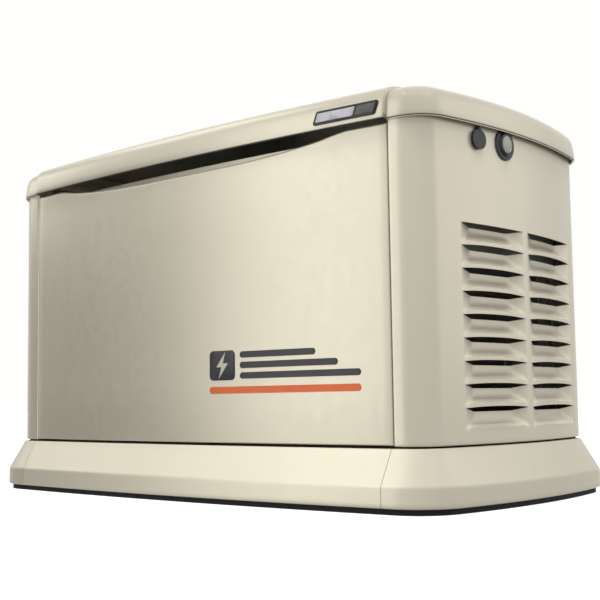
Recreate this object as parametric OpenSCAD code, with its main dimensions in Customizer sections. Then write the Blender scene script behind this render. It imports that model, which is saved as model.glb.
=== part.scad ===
// Home standby generator: bowed sheet-metal enclosure on a composite base, with an air-cooled V-twin
// engine, a two-pole alternator, a muffler compartment, a battery and a controller under a hinged lid.
// Frame: origin at the centre of the base's underside, +X along the front to the right, front at -Y, +Z up.

/* [Enclosure] */
// Length of the body between its two bowed ends
body_l = 1190; // [1170:5:1250]
// Depth of the body between its bowed front and rear
body_d = 618; // [606:2:622]
// Rise of the bow along the front and rear
front_bow = 31; // [20:1:36]
// Rise of the bow along each end
end_bow = 43; // [38:1:46]
// Radius of the body's vertical corners
corner_r = 60; // [48:1:70]
// Height of the panels' lower edge above the ground
deck_z = 109; // [104:1:114]
// Height of the side panels' upper edge, inside the lid
side_top_z = 676; // [672:1:678]
// Height of the front panel's upper edge at its corners
front_top_z = 661; // [652:1:662]
// Width of the front panel, and of the lid and fascia sections in line with it
panel_w = 986; // [960:2:1000]
// Distance of the front panel's middle from the body's middle, to the right
panel_shift = 7; // [0:1:14]
// Thickness of the panel sheet
sheet_t = 2; // [1.5:0.5:2.5]
// Gap at each panel seam
seam_gap = 2; // [1.5:0.5:3]

/* [Lid] */
// Height of the lid's lower edge above the ground
lid_z = 667; // [666:1:670]
// Height of the lid from its lower edge to the crown
lid_h = 69; // [66:1:76]
// Overhang of the lid's middle section past the front and rear panels
lid_over_front = 11; // [9:1:14]
// Overhang of the lid past the end panels
lid_over_end = 12.5; // [8:0.5:20]
// Set-back of the lid's end sections behind its middle section
lid_end_setback = 8; // [5:1:9]
// Wall of the lid
lid_t = 2.5; // [2:0.5:3.5]
// Distance that the lid hinge's pin lies behind the middle of the rear panel
hinge_back = 22; // [20:1:26]

/* [Hand grip] */
// Depth of the scoop in the front panel's upper edge
grip_drop = 25; // [10:1:30]
// Half of the scoop's width
grip_half_w = 410; // [300:10:430]
// Distance that the scoop's back wall lies behind the panel's face
grip_depth = 24; // [20:1:26]
// Height of the upper edge of the wall behind the grip
grip_wall_z = 651; // [645:1:660]

/* [Fascia and base] */
// Height of the black base flange
base_flange_h = 10; // [8:1:14]
// Width of the base flange past the body
base_over = 26; // [24:1:28]
// Width of the fascia's foot past the body
fascia_over = 35; // [33:1:40]
// Height of the fold between the fascia's slope and its upright band
fascia_fold_z = 48; // [40:1:56]
// Wall of the fascia
fascia_t = 3; // [2.5:0.5:4]

/* [End louvres] */
// Number of rows of louvres
louvre_rows = 9; // [4:1:9]
// Distance between rows
louvre_pitch = 40; // [38:1:40]
// Height of the top row's upper edge
louvre_top_z = 491; // [480:1:500]
// Height of one louvre's opening in the sheet
louvre_h = 32; // [24:1:33]
// Depth that a louvre's blade leans into the body
louvre_depth = 15; // [8:1:18]

/* [Lock and status window] */
// Distance of the lock from the middle of the end, towards the front
lock_y = -138; // [-144:1:-118]
// Height of the lock
lock_z = 641; // [638:1:642]
// Distance of the status window from the middle of the end
window_y = -57; // [-62:1:-40]
// Height of the status window's middle
window_z = 644; // [638:1:645]
// Radius of the status window's bezel
window_r = 29; // [26:1:29]
// Radius of the status window's lens
lens_r = 15.5; // [12:0.5:17]

/* [Engine and alternator] */
// Height of the crankshaft's axis above the ground
crank_z = 285; // [283:1:290]
// Distance of the crankshaft's axis behind the middle of the body
crank_y = 10; // [6:1:12]
// Radius of the crankshaft's main journals
journal_r = 25; // [20:1:28]
// Radius of the alternator shaft at its bearing
shaft_r = 17.5; // [15:0.5:19]
// Radial clearance of each running fit
run_fit = 0.05; // [0.03:0.01:0.08]
// Radius of the flywheel
flywheel_r = 118; // [112:1:120]

/* [Hidden] */
$fn = 64;

panel_x0 = panel_shift - panel_w / 2;
panel_x1 = panel_shift + panel_w / 2;
big = 1600;

// ---- plan outline: two bowed sides, two bowed ends and tangent corner arcs ----
bow_steps = 14;
corner_steps = 8;
end_steps = 10;

// Radius of the circle that rises by sag over half a chord
function bow_radius(half, sag) = (half * half + sag * sag) / (2 * sag);

// Points on an arc about c, without its last point
function arc(c, r, a0, a1, n) =
    [for (i = [0 : n - 1]) let (a = a0 + (a1 - a0) * i / n) c + r * [cos(a), sin(a)]];

// Centre of the corner arc of radius r that touches both bows from inside
function corner_centre(side_c, side_r, end_c, end_r, r) =
    let (d = norm(end_c - side_c), d0 = side_r - r, d1 = end_r - r)
    let (along = (d0 * d0 - d1 * d1 + d * d) / (2 * d), u = (end_c - side_c) / d)
    side_c + along * u + sqrt(d0 * d0 - along * along) * [-u[1], u[0]];

// A quarter of the outline, from the middle of the front to the middle of the right end
function quarter(a, b, r) =
    let (side_r = bow_radius(a, front_bow), end_r = bow_radius(b, end_bow))
    let (side_c = [0, side_r - b], end_c = [a - end_r, 0])
    let (c = corner_centre(side_c, side_r, end_c, end_r, r))
    let (a0 = atan2(c[1] - side_c[1], c[0] - side_c[0]), a1 = atan2(c[1] - end_c[1], c[0] - end_c[0]))
    concat(arc(side_c, side_r, -90, a0, bow_steps), arc(c, r, a0, a1, corner_steps),
        arc(end_c, end_r, a1, 0, end_steps), [[a, 0]]);

function flip_y(p) = [for (i = [len(p) - 2 : -1 : 0]) [p[i][0], -p[i][1]]];
function flip_x(p) = [for (i = [len(p) - 2 : -1 : 1]) [-p[i][0], p[i][1]]];

// The whole outline, grown by g_side at the front and rear and by g_end at the ends
function outline(g_side, g_end) =
    let (r = max(6, corner_r + (g_side + g_end) / 2))
    let (q = quarter(body_l / 2 + g_end, body_d / 2 + g_side, r), half = concat(q, flip_y(q)))
    concat(half, flip_x(half));

end_r = bow_radius(body_d / 2, end_bow);
side_r = bow_radius(body_l / 2, front_bow);

// Distance of the end panel's face from the middle at y, and of the rear panel's face at x
function end_x(y) = body_l / 2 - end_r + sqrt(end_r * end_r - y * y);
function rear_y(x) = body_d / 2 - side_r + sqrt(side_r * side_r - x * x);

module plan(g_side = 0, g_end = 0) polygon(outline(g_side, g_end));

module slab(z0, z1, g_side = 0, g_end = 0)
    translate([0, 0, z0])
        linear_extrude(z1 - z0)
            plan(g_side, g_end);

// A wall that follows the outline, from g outward to g - t inward
module skin(z0, z1, t, g = 0)
    translate([0, 0, z0])
        linear_extrude(z1 - z0)
            difference() {
                plan(g, g);
                plan(g - t, g - t);
            }

module between_x(x0, x1)
    intersection() {
        children();
        translate([x0, -big / 2, -big / 4])
            cube([x1 - x0, big, big]);
    }

module front_half()
    intersection() {
        children();
        translate([-big / 2, -big, -big / 4])
            cube([big, big, big]);
    }

module rear_half() mirror([0, 1, 0]) front_half() mirror([0, 1, 0]) children();

// Children placed on the end panel at y and z, local +X along the face's outward normal
module on_end(y, z, side = 1)
    mirror([side > 0 ? 0 : 1, 0, 0])
        translate([end_x(y), y, z])
            rotate([0, 0, asin(y / end_r)])
                children();

module along_x(r, x0, x1)
    translate([x0, 0, 0])
        rotate([0, 90, 0])
            cylinder(r = r, h = x1 - x0);

module box(lo, hi) translate(lo) cube(hi - lo);

// ---- colours ----
paint_c = [0.84, 0.82, 0.73];
trim_c = [0.12, 0.12, 0.13];
steel_c = [0.62, 0.63, 0.65];
cast_c = [0.70, 0.71, 0.72];
black_c = [0.08, 0.08, 0.09];
rubber_c = [0.10, 0.10, 0.10];
copper_c = [0.72, 0.42, 0.24];
yellow_c = [0.92, 0.76, 0.10];
red_c = [0.75, 0.10, 0.08];

// ---- base and fascia ----
deck_t = 8;
base_wall = 8;
pedestal_in = 6;
rib_t = 6;
rib_cells_x = 4;
rib_cells_y = 3;
anchor_x = 420;
anchor_y = 299;
anchor_hole_r = 7;

module base_pad() {
    inner = -pedestal_in - base_wall;
    cell_x = (body_l - 2 * base_wall) / rib_cells_x;
    cell_y = (body_d - 2 * base_wall) / rib_cells_y;
    color(black_c)
        difference() {
            union() {
                slab(0, base_flange_h, base_over + 2, base_over - 1);
                slab(0, deck_z, -pedestal_in, -pedestal_in);
            }
            intersection() {
                slab(-1, deck_z - deck_t, inner, inner);
                for (i = [0 : rib_cells_x - 1])
                    for (j = [0 : rib_cells_y - 1])
                        translate([(i - rib_cells_x / 2) * cell_x, (j - rib_cells_y / 2) * cell_y, -1])
                            translate([rib_t / 2, rib_t / 2, 0])
                                cube([cell_x - rib_t, cell_y - rib_t, deck_z]);
            }
            for (x = [-anchor_x, anchor_x])
                for (y = [-anchor_y, anchor_y])
                    translate([x, y, -1])
                        cylinder(r = anchor_hole_r, h = base_flange_h + 2);
        }
}

fascia_top_z = deck_z - 3;
fascia_lip = 5;
fascia_foot_in = 17;

module fascia_form(inset, z_low)
    hull() {
        slab(fascia_top_z - 4 - inset, fascia_top_z + (inset > 0 ? 1 : 0),
            fascia_lip - inset, fascia_lip - inset);
        slab(z_low, fascia_fold_z, fascia_over + 1 - inset, fascia_over - 2 - inset);
    }

module fascia(x0, x1)
    color(paint_c)
        between_x(x0, x1) {
            difference() {
                fascia_form(0, base_flange_h);
                fascia_form(fascia_t, base_flange_h - 1);
            }
            difference() {
                slab(base_flange_h, base_flange_h + fascia_t,
                    fascia_over - fascia_t / 2, fascia_over - fascia_t - 1);
                slab(base_flange_h - 1, deck_z, fascia_foot_in, fascia_foot_in - 3);
            }
        }

fascia_joint = 1;

module fascia_front() front_half() fascia(panel_x0 + fascia_joint, panel_x1 - fascia_joint);
module fascia_rear() rear_half() fascia(panel_x0 + fascia_joint, panel_x1 - fascia_joint);
module fascia_left() fascia(-big / 2, panel_x0);
module fascia_right() fascia(panel_x1, big / 2);

// ---- louvres ----
blade_t = 1.6;
blade_lip = 7;

// Louvres in a wall of radius r about the Z axis, between two angles; cut = true gives the openings
module louvre_column(r, a0, a1, cut)
    for (i = [0 : louvre_rows - 1])
        translate([0, 0, louvre_top_z - louvre_h - i * louvre_pitch])
            rotate([0, 0, a0])
                rotate_extrude(angle = a1 - a0, $fn = 360)
                    if (cut)
                        translate([r - 2 * sheet_t, 0])
                            square([4 * sheet_t, louvre_h]);
                    else
                        polygon([[r - 0.2, -0.5], [r - 0.2, 0.5],
                            [r - louvre_depth, louvre_h - blade_lip + blade_t],
                            [r - louvre_depth, louvre_h - blade_lip], [r - sheet_t, -0.5]]);

// Louvre columns on an end, as pairs of distances from the end's middle
end_louvres = [[-187, 0], [16, 212]];
// Louvre columns on the rear panel, as pairs of distances from the body's middle
rear_louvres = [[-320, -130], [-111, 79]];

module end_louvre_field(cut)
    translate([body_l / 2 - end_r, 0, 0])
        for (c = end_louvres)
            louvre_column(end_r, asin((c[0] - (cut ? 0 : 1)) / end_r),
                asin((c[1] + (cut ? 0 : 1)) / end_r), cut);

module rear_louvre_field(cut)
    translate([0, body_d / 2 - side_r, 0])
        for (c = rear_louvres)
            louvre_column(side_r, acos((c[1] + (cut ? 0 : 1)) / side_r),
                acos((c[0] - (cut ? 0 : 1)) / side_r), cut);

// ---- panels ----
return_d = 16;
jamb_d = 30;
stop_d = 22;
stop_w = 18;
sleeve_r = 13.5;
hole_slack = 0.2;
window_hole_r = 22;

screw_r = 2.5;
screw_edge = 10;
screw_zs = [150, 300, 450, 600];

// Screw holes through the rear seam whose panel edge lies at x
module seam_screws(x, r, y0, y1)
    for (z = screw_zs)
        translate([x, rear_y(x) + y0, z])
            rotate([-90, 0, 0])
                cylinder(r = r, h = y1 - y0);

// An end panel that wraps round both corners from the seam, with a jamb at the front and a seat at the rear
module end_panel(seam, has_window) {
    x_in = seam + seam_gap / 2;
    difference() {
        union() {
            between_x(x_in, big / 2) {
                difference() {
                    skin(deck_z, side_top_z, sheet_t);
                    end_louvre_field(true);
                }
                end_louvre_field(false);
                skin(deck_z, deck_z + sheet_t, jamb_d);
            }
            front_half() {
                between_x(x_in, x_in + sheet_t)
                    skin(deck_z, side_top_z, stop_d + sheet_t);
                between_x(x_in - stop_w, x_in + sheet_t)
                    skin(deck_z, front_top_z, sheet_t, -stop_d);
            }
            rear_half()
                between_x(x_in - stop_w, x_in + sheet_t)
                    skin(deck_z, side_top_z, sheet_t, -sheet_t);
        }
        on_end(lock_y, lock_z)
            along_x(sleeve_r + hole_slack, -10, 10);
        if (has_window)
            on_end(window_y, window_z)
                along_x(window_hole_r + hole_slack, -10, 10);
        seam_screws(seam - screw_edge, screw_r + hole_slack, -10, 6);
    }
}

module end_panel_right() color(paint_c) end_panel(panel_x1, true);
module end_panel_left() color(paint_c) mirror([1, 0, 0]) end_panel(-panel_x0, false);

// The rear panel's bottom return stops short of the seats on the end panels
seat_clear = 24;
conduit_x = 330;
conduit_z = 190;
conduit_r = 22;
conduit_boss_r = 30;
conduit_y = [294, 302];
inlet_x = 430;
inlet_z = 182;
inlet_hole_r = 20;

module rear_panel()
    color(paint_c)
        difference() {
            union() {
                rear_half()
                    between_x(panel_x0, panel_x1) {
                        difference() {
                            skin(deck_z, side_top_z, sheet_t);
                            rear_louvre_field(true);
                        }
                        between_x(panel_x0 + seat_clear, panel_x1 - seat_clear)
                            skin(deck_z, deck_z + sheet_t, jamb_d);
                    }
                rear_louvre_field(false);
                translate([conduit_x, conduit_y[0], conduit_z])
                    rotate([-90, 0, 0])
                        cylinder(r = conduit_boss_r, h = conduit_y[1] - conduit_y[0]);
            }
            seam_screws(panel_x0 + screw_edge, screw_r + hole_slack, -10, 6);
            seam_screws(panel_x1 - screw_edge, screw_r + hole_slack, -10, 6);
            translate([conduit_x, 0, conduit_z])
                rotate([-90, 0, 0])
                    cylinder(r = conduit_r, h = big / 4);
            translate([inlet_x, 0, inlet_z])
                rotate([-90, 0, 0])
                    cylinder(r = inlet_hole_r, h = big / 4);
        }

screw_head_r = 5;
screw_head_h = 3;
screw_l = 9;

module case_screws()
    color(steel_c)
        for (x = [panel_x0 + screw_edge, panel_x1 - screw_edge]) {
            seam_screws(x, screw_r, 0.5 - screw_l, 0.5);
            seam_screws(x, screw_head_r, 0.5, 0.5 + screw_head_h);
        }

// Height of the front panel's upper edge at distance u from its middle
function grip_edge(u) = front_top_z - grip_drop * max(0, 1 - pow(u / grip_half_w, 3));
grip_steps = 24;
function grip_line(dz) = [for (i = [-grip_steps : grip_steps])
    [panel_shift + grip_half_w * i / grip_steps, grip_edge(abs(grip_half_w * i / grip_steps)) + dz]];
function reversed(p) = [for (i = [len(p) - 1 : -1 : 0]) p[i]];

// A profile in X and Z, extruded through the front half of the body
module front_profile(points)
    rotate([90, 0, 0])
        linear_extrude(big / 2)
            polygon(points);

front_gap = 1.5;
front_z0 = deck_z + front_gap;

module front_panel() {
    above = [[panel_shift + grip_half_w, front_top_z + 9], [panel_shift - grip_half_w, front_top_z + 9]];
    color(paint_c)
        front_half()
            between_x(panel_x0 + seam_gap / 2, panel_x1 - seam_gap / 2) {
                difference() {
                    skin(front_z0, front_top_z, sheet_t);
                    front_profile(concat(grip_line(0), above));
                }
                intersection() {
                    skin(front_z0, front_top_z, grip_depth);
                    front_profile(concat(grip_line(0), reversed(grip_line(-sheet_t))));
                }
                intersection() {
                    skin(front_z0, grip_wall_z, sheet_t, sheet_t - grip_depth);
                    front_profile(concat(grip_line(-sheet_t / 2), above));
                }
                skin(front_z0, front_z0 + sheet_t, return_d);
                between_x(panel_x0 + seam_gap / 2, panel_x0 + seam_gap / 2 + sheet_t)
                    skin(front_z0, front_top_z, return_d);
                between_x(panel_x1 - seam_gap / 2 - sheet_t, panel_x1 - seam_gap / 2)
                    skin(front_z0, front_top_z, return_d);
            }
}

// ---- lid ----
// Steps of the lid's rounded shoulder: height above the lower edge, and set-back from the overhang
lid_steps = [[0, 0], [5, 0], [33, 3], [48, 9], [56, 19], [61, 33], [64, 50], [lid_h, 230]];

// Gap beside each lid joint, and drop of the end sections below the middle section
lid_joint = 0.6;
lid_cap_drop = 3;

module lid_form(g_side, g_end, wall, drop)
    hull()
        for (s = lid_steps)
            slab(lid_z + (s[0] == 0 ? (wall > 0 ? -1 : 0) : s[0] - wall - drop),
                lid_z + (s[0] == 0 ? 1 : s[0] - wall - drop + 0.1),
                g_side - s[1] - wall, g_end - s[1] - wall);

module lid_shell(g_side, g_end, drop)
    difference() {
        lid_form(g_side, g_end, 0, drop);
        lid_form(g_side, g_end, lid_t, drop);
    }

cam_l = 38;
cam_w = 12;
cam_t = 3;
cam_x = -31;
striker_y = lock_y + 24;
striker_w = 22;
striker_t = 3;
foot_drop = 15;
striker_top = lid_z + 59;

module lid_roof()
    color(paint_c)
        between_x(panel_x0, panel_x1)
            lid_shell(lid_over_front, lid_over_end, 0);

// An end section of the lid, with the striker that the lock's cam turns over
module lid_end(seam) {
    strap_x = end_x(lock_y) + cam_x - striker_t - 6;
    between_x(seam + lid_joint, big / 2)
        lid_shell(lid_over_front - lid_end_setback, lid_over_end, lid_cap_drop);
    translate([strap_x, striker_y, lock_z - foot_drop]) {
        cube([striker_t, striker_w, striker_top - lock_z + foot_drop]);
        cube([16, striker_w, striker_t]);
    }
}
module lid_end_right() color(paint_c) lid_end(panel_x1);
module lid_end_left() color(paint_c) mirror([1, 0, 0]) lid_end(-panel_x0);

badge_x = 423;
badge_w = 131;
badge_h = 25;
badge_skew = 7;
badge_t = 2.5;
badge_tilt = 6.5;
badge_z = lid_z + 20;

module badge() {
    y = -body_d / 2 - lid_over_front + front_bow * pow(badge_x / (body_l / 2), 2);
    turn = asin(badge_x / side_r);
    color(trim_c)
        translate([badge_x, y + 1.5, badge_z])
            rotate([90 - badge_tilt, 0, turn])
                linear_extrude(badge_t + 1)
                    offset(3)
                        offset(-3)
                            multmatrix([[1, badge_skew / badge_h, 0, 0], [0, 1, 0, 0], [0, 0, 1, 0]])
                                square([badge_w, badge_h], center = true);
}

// ---- lid hinges ----
hinge_x = 330;
hinge_y = body_d / 2 + hinge_back;
hinge_z = lid_z - 3;
pin_r = 4;
knuckle_r = 8;
leaf_w = 70;
leaf_t = 3;
knuckle_l = 22;

module knuckle(x0, x1)
    difference() {
        translate([0, hinge_y, hinge_z])
            along_x(knuckle_r, x0, x1);
        translate([0, hinge_y, hinge_z])
            along_x(pin_r + run_fit, x0 - 1, x1 + 1);
    }

// Fixed leaves: a plate on the rear panel and an arm to the two outer knuckles of each hinge
module hinge_leaves_body() {
    knuckle_mid = (leaf_w - knuckle_l) / 2;
    y_face = rear_y(hinge_x - leaf_w / 2) + 0.4;
    color(steel_c)
        for (side = [-1, 1]) {
            x = side * hinge_x;
            difference() {
                union() {
                    box([x - leaf_w / 2, y_face, hinge_z - 62],
                        [x + leaf_w / 2, y_face + leaf_t, hinge_z - 12]);
                    for (k = [-1, 1])
                        box([x + k * knuckle_mid - knuckle_l / 2, y_face, hinge_z - 24],
                            [x + k * knuckle_mid + knuckle_l / 2, hinge_y + 3, hinge_z - 3]);
                }
                translate([0, hinge_y, hinge_z])
                    along_x(knuckle_r - 1, x - leaf_w, x + leaf_w);
            }
            for (k = [-1, 1])
                knuckle(x + k * knuckle_mid - knuckle_l / 2, x + k * knuckle_mid + knuckle_l / 2);
        }
}

// Moving leaves: a plate on the lid's rear band and an arm to the middle knuckle of each hinge
module hinge_leaves_lid() {
    inner_w = leaf_w - 2 * knuckle_l - 1;
    y_band = rear_y(hinge_x - leaf_w / 2) + lid_over_front + 0.4;
    color(steel_c)
        for (side = [-1, 1]) {
            x = side * hinge_x;
            difference() {
                union() {
                    box([x - leaf_w / 2, y_band, lid_z + 8], [x + leaf_w / 2, y_band + leaf_t, lid_z + 34]);
                    box([x - inner_w / 2, y_band, lid_z + 1], [x + inner_w / 2, hinge_y + 3, lid_z + 14]);
                }
                translate([0, hinge_y, hinge_z])
                    along_x(knuckle_r - 1, x - leaf_w, x + leaf_w);
            }
            knuckle(x - inner_w / 2, x + inner_w / 2);
        }
}

module hinge_pins()
    color(steel_c)
        for (x = [-hinge_x, hinge_x])
            translate([0, hinge_y, hinge_z]) {
                along_x(pin_r, x - leaf_w / 2 - 3, x + leaf_w / 2 + 3);
                for (k = [-1, 1])
                    along_x(pin_r + 2, x + k * (leaf_w / 2 + 2) - 1, x + k * (leaf_w / 2 + 2) + 1);
            }

// ---- locks ----
barrel_r = 10;
flange_r = 17;
flange_x = [0.3, 3];
sleeve_in = -26;
cover_r = 18;
cover_x = [3.4, 6.4];
cover_pivot_z = 19;
cover_pin_r = 2;
ear_r = 5;

module lock_sleeve() {
    difference() {
        union() {
            along_x(flange_r, flange_x[0], flange_x[1]);
            along_x(sleeve_r, sleeve_in, flange_x[1]);
            along_x(flange_r, -9, -3.2);
            translate([0, 0, cover_pivot_z])
                along_x(ear_r, flange_x[0], flange_x[1]);
        }
        along_x(barrel_r + run_fit, sleeve_in - 1, flange_x[1] + 1);
    }
    translate([0, 0, cover_pivot_z]) {
        along_x(cover_pin_r, flange_x[1], cover_x[1] + 1.2);
        along_x(cover_pin_r + 1, cover_x[1] + 0.3, cover_x[1] + 1.2);
    }
}

module lock_sleeves()
    color(trim_c)
        for (side = [-1, 1])
            on_end(lock_y, lock_z, side)
                lock_sleeve();

// Barrel with its keyway, and the cam on its inner end, pointing up when unlocked
module lock_barrel(side)
    color(steel_c)
        on_end(lock_y, lock_z, side) {
            difference() {
                along_x(barrel_r, cam_x + cam_t, flange_x[1] - 0.6);
                box([flange_x[1] - 3, -1, -6], [flange_x[1] + 1, 1, 6]);
            }
            along_x(cam_w / 2 + 2, cam_x, cam_x + cam_t);
            box([cam_x, -cam_w / 2, 0], [cam_x + cam_t, cam_w / 2, cam_l]);
        }

module lock_barrel_right() lock_barrel(1);
module lock_barrel_left() lock_barrel(-1);

module dust_cover(side)
    color(black_c)
        on_end(lock_y, lock_z, side)
            difference() {
                union() {
                    along_x(cover_r, cover_x[0], cover_x[1]);
                    translate([0, 0, cover_pivot_z])
                        along_x(ear_r, cover_x[0], cover_x[1]);
                }
                translate([0, 0, cover_pivot_z]) {
                    along_x(cover_pin_r + run_fit, 0, 10);
                    along_x(cover_pin_r + 1.4, cover_x[1] - 0.5, 10);
                }
            }

module dust_cover_right() dust_cover(1);
module dust_cover_left() dust_cover(-1);

// ---- status window ----
bezel_face = 3;
bezel_boss = 8;
bezel_in = -12;
lens_gap = 0.1;

module status_bezel()
    color(black_c)
        on_end(window_y, window_z)
            rotate([0, 90, 0])
                rotate_extrude()
                    polygon([[lens_r + lens_gap, bezel_in], [window_hole_r - 0.2, bezel_in],
                        [window_hole_r - 0.2, 0.6], [window_r - 1, 0.6], [window_r, 1.6],
                        [window_r - 1, bezel_face], [window_r - 6, bezel_face + 0.6],
                        [window_r - 9, bezel_boss - 1], [window_r - 10, bezel_boss],
                        [lens_r + lens_gap, bezel_boss]]);

module status_lens() {
    dome = 60;
    color([0.72, 0.76, 0.70, 0.9])
        on_end(window_y, window_z)
            intersection() {
                along_x(lens_r, -4, bezel_boss + 4);
                translate([bezel_boss + 1.5 - dome, 0, 0])
                    sphere(r = dome, $fn = 128);
            }
}

// ---- engine bay sheet metal ----
partition_x = -345;
pipe_r = 15;
pipe_wall = 2.5;
pipe_z = crank_z + 85;
pipe_out = 223;
pipe_gap = 0.5;

module exhaust_partition()
    color(steel_c)
        difference() {
            box([partition_x - 1, -263, deck_z + sheet_t + 0.5], [partition_x + 1, 285, 655]);
            for (k = [-1, 1])
                translate([0, crank_y + k * pipe_out, pipe_z])
                    along_x(pipe_r + 3, partition_x - 5, partition_x + 5);
        }

rail_y = 85;
rail_w = 40;
rail_h = 30;
rail_t = 3;
rail_x = [-260, 300];
mount_r = 20;
mount_h = 25;
mount_xs = [-185, -35, 220];

module rail(y)
    difference() {
        box([rail_x[0], y - rail_w / 2, deck_z], [rail_x[1], y + rail_w / 2, deck_z + rail_h]);
        box([rail_x[0] - 1, y - rail_w / 2 + rail_t, deck_z - 1],
            [rail_x[1] + 1, y + rail_w / 2 - rail_t, deck_z + rail_h - rail_t]);
    }

module mounting_frame()
    color(black_c) {
        for (k = [-1, 1])
            rail(k * rail_y);
        for (x = [rail_x[0], rail_x[1] - rail_w])
            box([x, -rail_y + rail_w / 2 - 1, deck_z],
                [x + rail_w, rail_y - rail_w / 2 + 1, deck_z + rail_h]);
    }

module rubber_mounts()
    color(rubber_c)
        for (x = mount_xs)
            for (k = [-1, 1])
                translate([x, k * rail_y, deck_z + rail_h])
                    rotate_extrude()
                        polygon([[0, 0], [mount_r, 0], [mount_r, 4], [mount_r - 4, mount_h / 2],
                            [mount_r, mount_h - 4], [mount_r, mount_h], [0, mount_h]]);

foot_z = deck_z + rail_h + mount_h;

// ---- engine ----
case_x = [-220, 0];
case_wall = 15;
case_cavity_r = 66;
case_low = foot_z + 6 - crank_z;
deck_d = 85;
barrel_top = 190;
bore_r = 45;
barrel_out_r = 54;
fin_r = 72;
fin_t = 4;
fin_pitch = 12;
head_x = [-125, -95];
adapter_r = 126;
adapter_wall = 10;
adapter_end = 56;

module at_crank() translate([0, crank_y, crank_z]) children();

// Children placed on a cylinder's axis: side -1 leans to the front, side 1 to the rear
module on_cylinder(side)
    at_crank()
        translate([head_x[side < 0 ? 0 : 1], 0, 0])
            rotate([-45 * side, 0, 0])
                children();

module crankcase()
    color(cast_c)
        difference() {
            union() {
                at_crank()
                    translate([case_x[0], 0, 0])
                        rotate([90, 0, 90])
                            linear_extrude(case_x[1] - case_x[0])
                                polygon([[-80, case_low], [80, case_low], [80, -20], [110, 10],
                                    [0, 120], [-110, 10], [-80, -20]]);
                for (x = [case_x[0] + 10, case_x[1] - 60])
                    for (k = [-1, 1])
                        box([x, k * rail_y - 22, foot_z], [x + 50, k * rail_y + 22, foot_z + 7]);
                for (side = [-1, 1])
                    on_cylinder(side) {
                        cylinder(r = barrel_out_r, h = barrel_top);
                        for (d = [deck_d + 12 : fin_pitch : barrel_top - fin_t])
                            translate([0, 0, d])
                                cylinder(r = fin_r, h = fin_t);
                    }
                at_crank() {
                    along_x(adapter_r, case_x[1], 6);
                    difference() {
                        along_x(adapter_r, case_x[1], adapter_end);
                        along_x(adapter_r - adapter_wall, case_x[1] - 1, adapter_end + 1);
                        for (a = [0 : 30 : 330])
                            rotate([a, 0, 0])
                                box([16, -18, adapter_r - 2 * adapter_wall],
                                    [adapter_end - 12, 18, adapter_r + 5]);
                    }
                }
            }
            at_crank() {
                along_x(case_cavity_r, case_x[0] + case_wall, case_x[1] - case_wall);
                along_x(journal_r + run_fit, case_x[0] - 1, 7);
            }
            for (side = [-1, 1])
                on_cylinder(side)
                    translate([0, 0, 30])
                        cylinder(r = bore_r, h = barrel_top);
        }

head_w = 104;
head_fin_w = 128;
head_h = 55;
cover_w = 100;
cover_h = 46;
port_r = pipe_r - pipe_wall;
port_d = barrel_top + 28;
runner_z = 203;
runner_r = 16;

module head(side)
    color(cast_c)
        difference() {
            on_cylinder(side) {
                translate([-head_w / 2, -head_fin_w / 2, barrel_top])
                    cube([head_w, head_fin_w, head_h]);
                for (z = [barrel_top + 4 : 9 : barrel_top + head_h - 6])
                    translate([-head_fin_w / 2, -head_fin_w / 2, z])
                        cube([head_fin_w, head_fin_w, 3]);
            }
            on_cylinder(side) {
                translate([0, 0, barrel_top - 1])
                    cylinder(r = bore_r - 6, h = 16);
                translate([0, 0, port_d])
                    rotate([-90 * side, 0, 0])
                        cylinder(r = port_r, h = head_fin_w);
            }
        }

module head_front() head(-1);
module head_rear() head(1);

// A flat plate with round corners
module round_plate(w, d, r, h)
    linear_extrude(h) {
        square([w - 2 * r, d], center = true);
        square([w, d - 2 * r], center = true);
        for (x = [-1, 1])
            for (y = [-1, 1])
                translate([x * (w / 2 - r), y * (d / 2 - r)])
                    circle(r);
    }

cap_x = 24;
neck_r = 17;
neck_h = 9;
neck_bore_r = 13;
cap_r = 20;

module rocker_cover(side)
    on_cylinder(side)
        translate([0, 0, barrel_top + head_h])
            difference() {
                union() {
                    round_plate(cover_w, cover_w - 8, 12, 8);
                    round_plate(cover_w - 10, cover_w - 18, 14, cover_h);
                    if (side < 0)
                        translate([cap_x, 0, 0])
                            cylinder(r = neck_r, h = cover_h + neck_h);
                }
                translate([0, 0, -1])
                    round_plate(cover_w - 18, cover_w - 26, 10, cover_h - 3);
                if (side < 0)
                    translate([cap_x, 0, 0])
                        cylinder(r = neck_bore_r, h = cover_h + neck_h + 1);
            }

module rocker_cover_front() color(cast_c) rocker_cover(-1);
module rocker_cover_rear() color(cast_c) rocker_cover(1);

module oil_cap()
    color(yellow_c)
        on_cylinder(-1)
            translate([cap_x, 0, barrel_top + head_h + cover_h + neck_h]) {
                translate([0, 0, 0.4])
                    cylinder(r = cap_r, h = 8);
                translate([0, 0, -7])
                    cylinder(r = neck_bore_r - run_fit, h = 8);
                translate([-4, -cap_r + 2, 8])
                    cube([8, 2 * cap_r - 4, 9]);
            }

blower_x = [-296, -220];
blower_r = 140;
blower_t = 3;
arm_w = 140;
arm_l = 235;
inlet_r = 88;
fly_x = [-286, -240];
guard_rs = [22, 42, 62, 80];
guard_w = 3.6;

module blower_outline(inset)
    union() {
        circle(blower_r - inset);
        for (a = [-45, 45])
            rotate(a)
                translate([-arm_w / 2 + inset, 0])
                    square([arm_w - 2 * inset, arm_l - inset]);
    }

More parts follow.
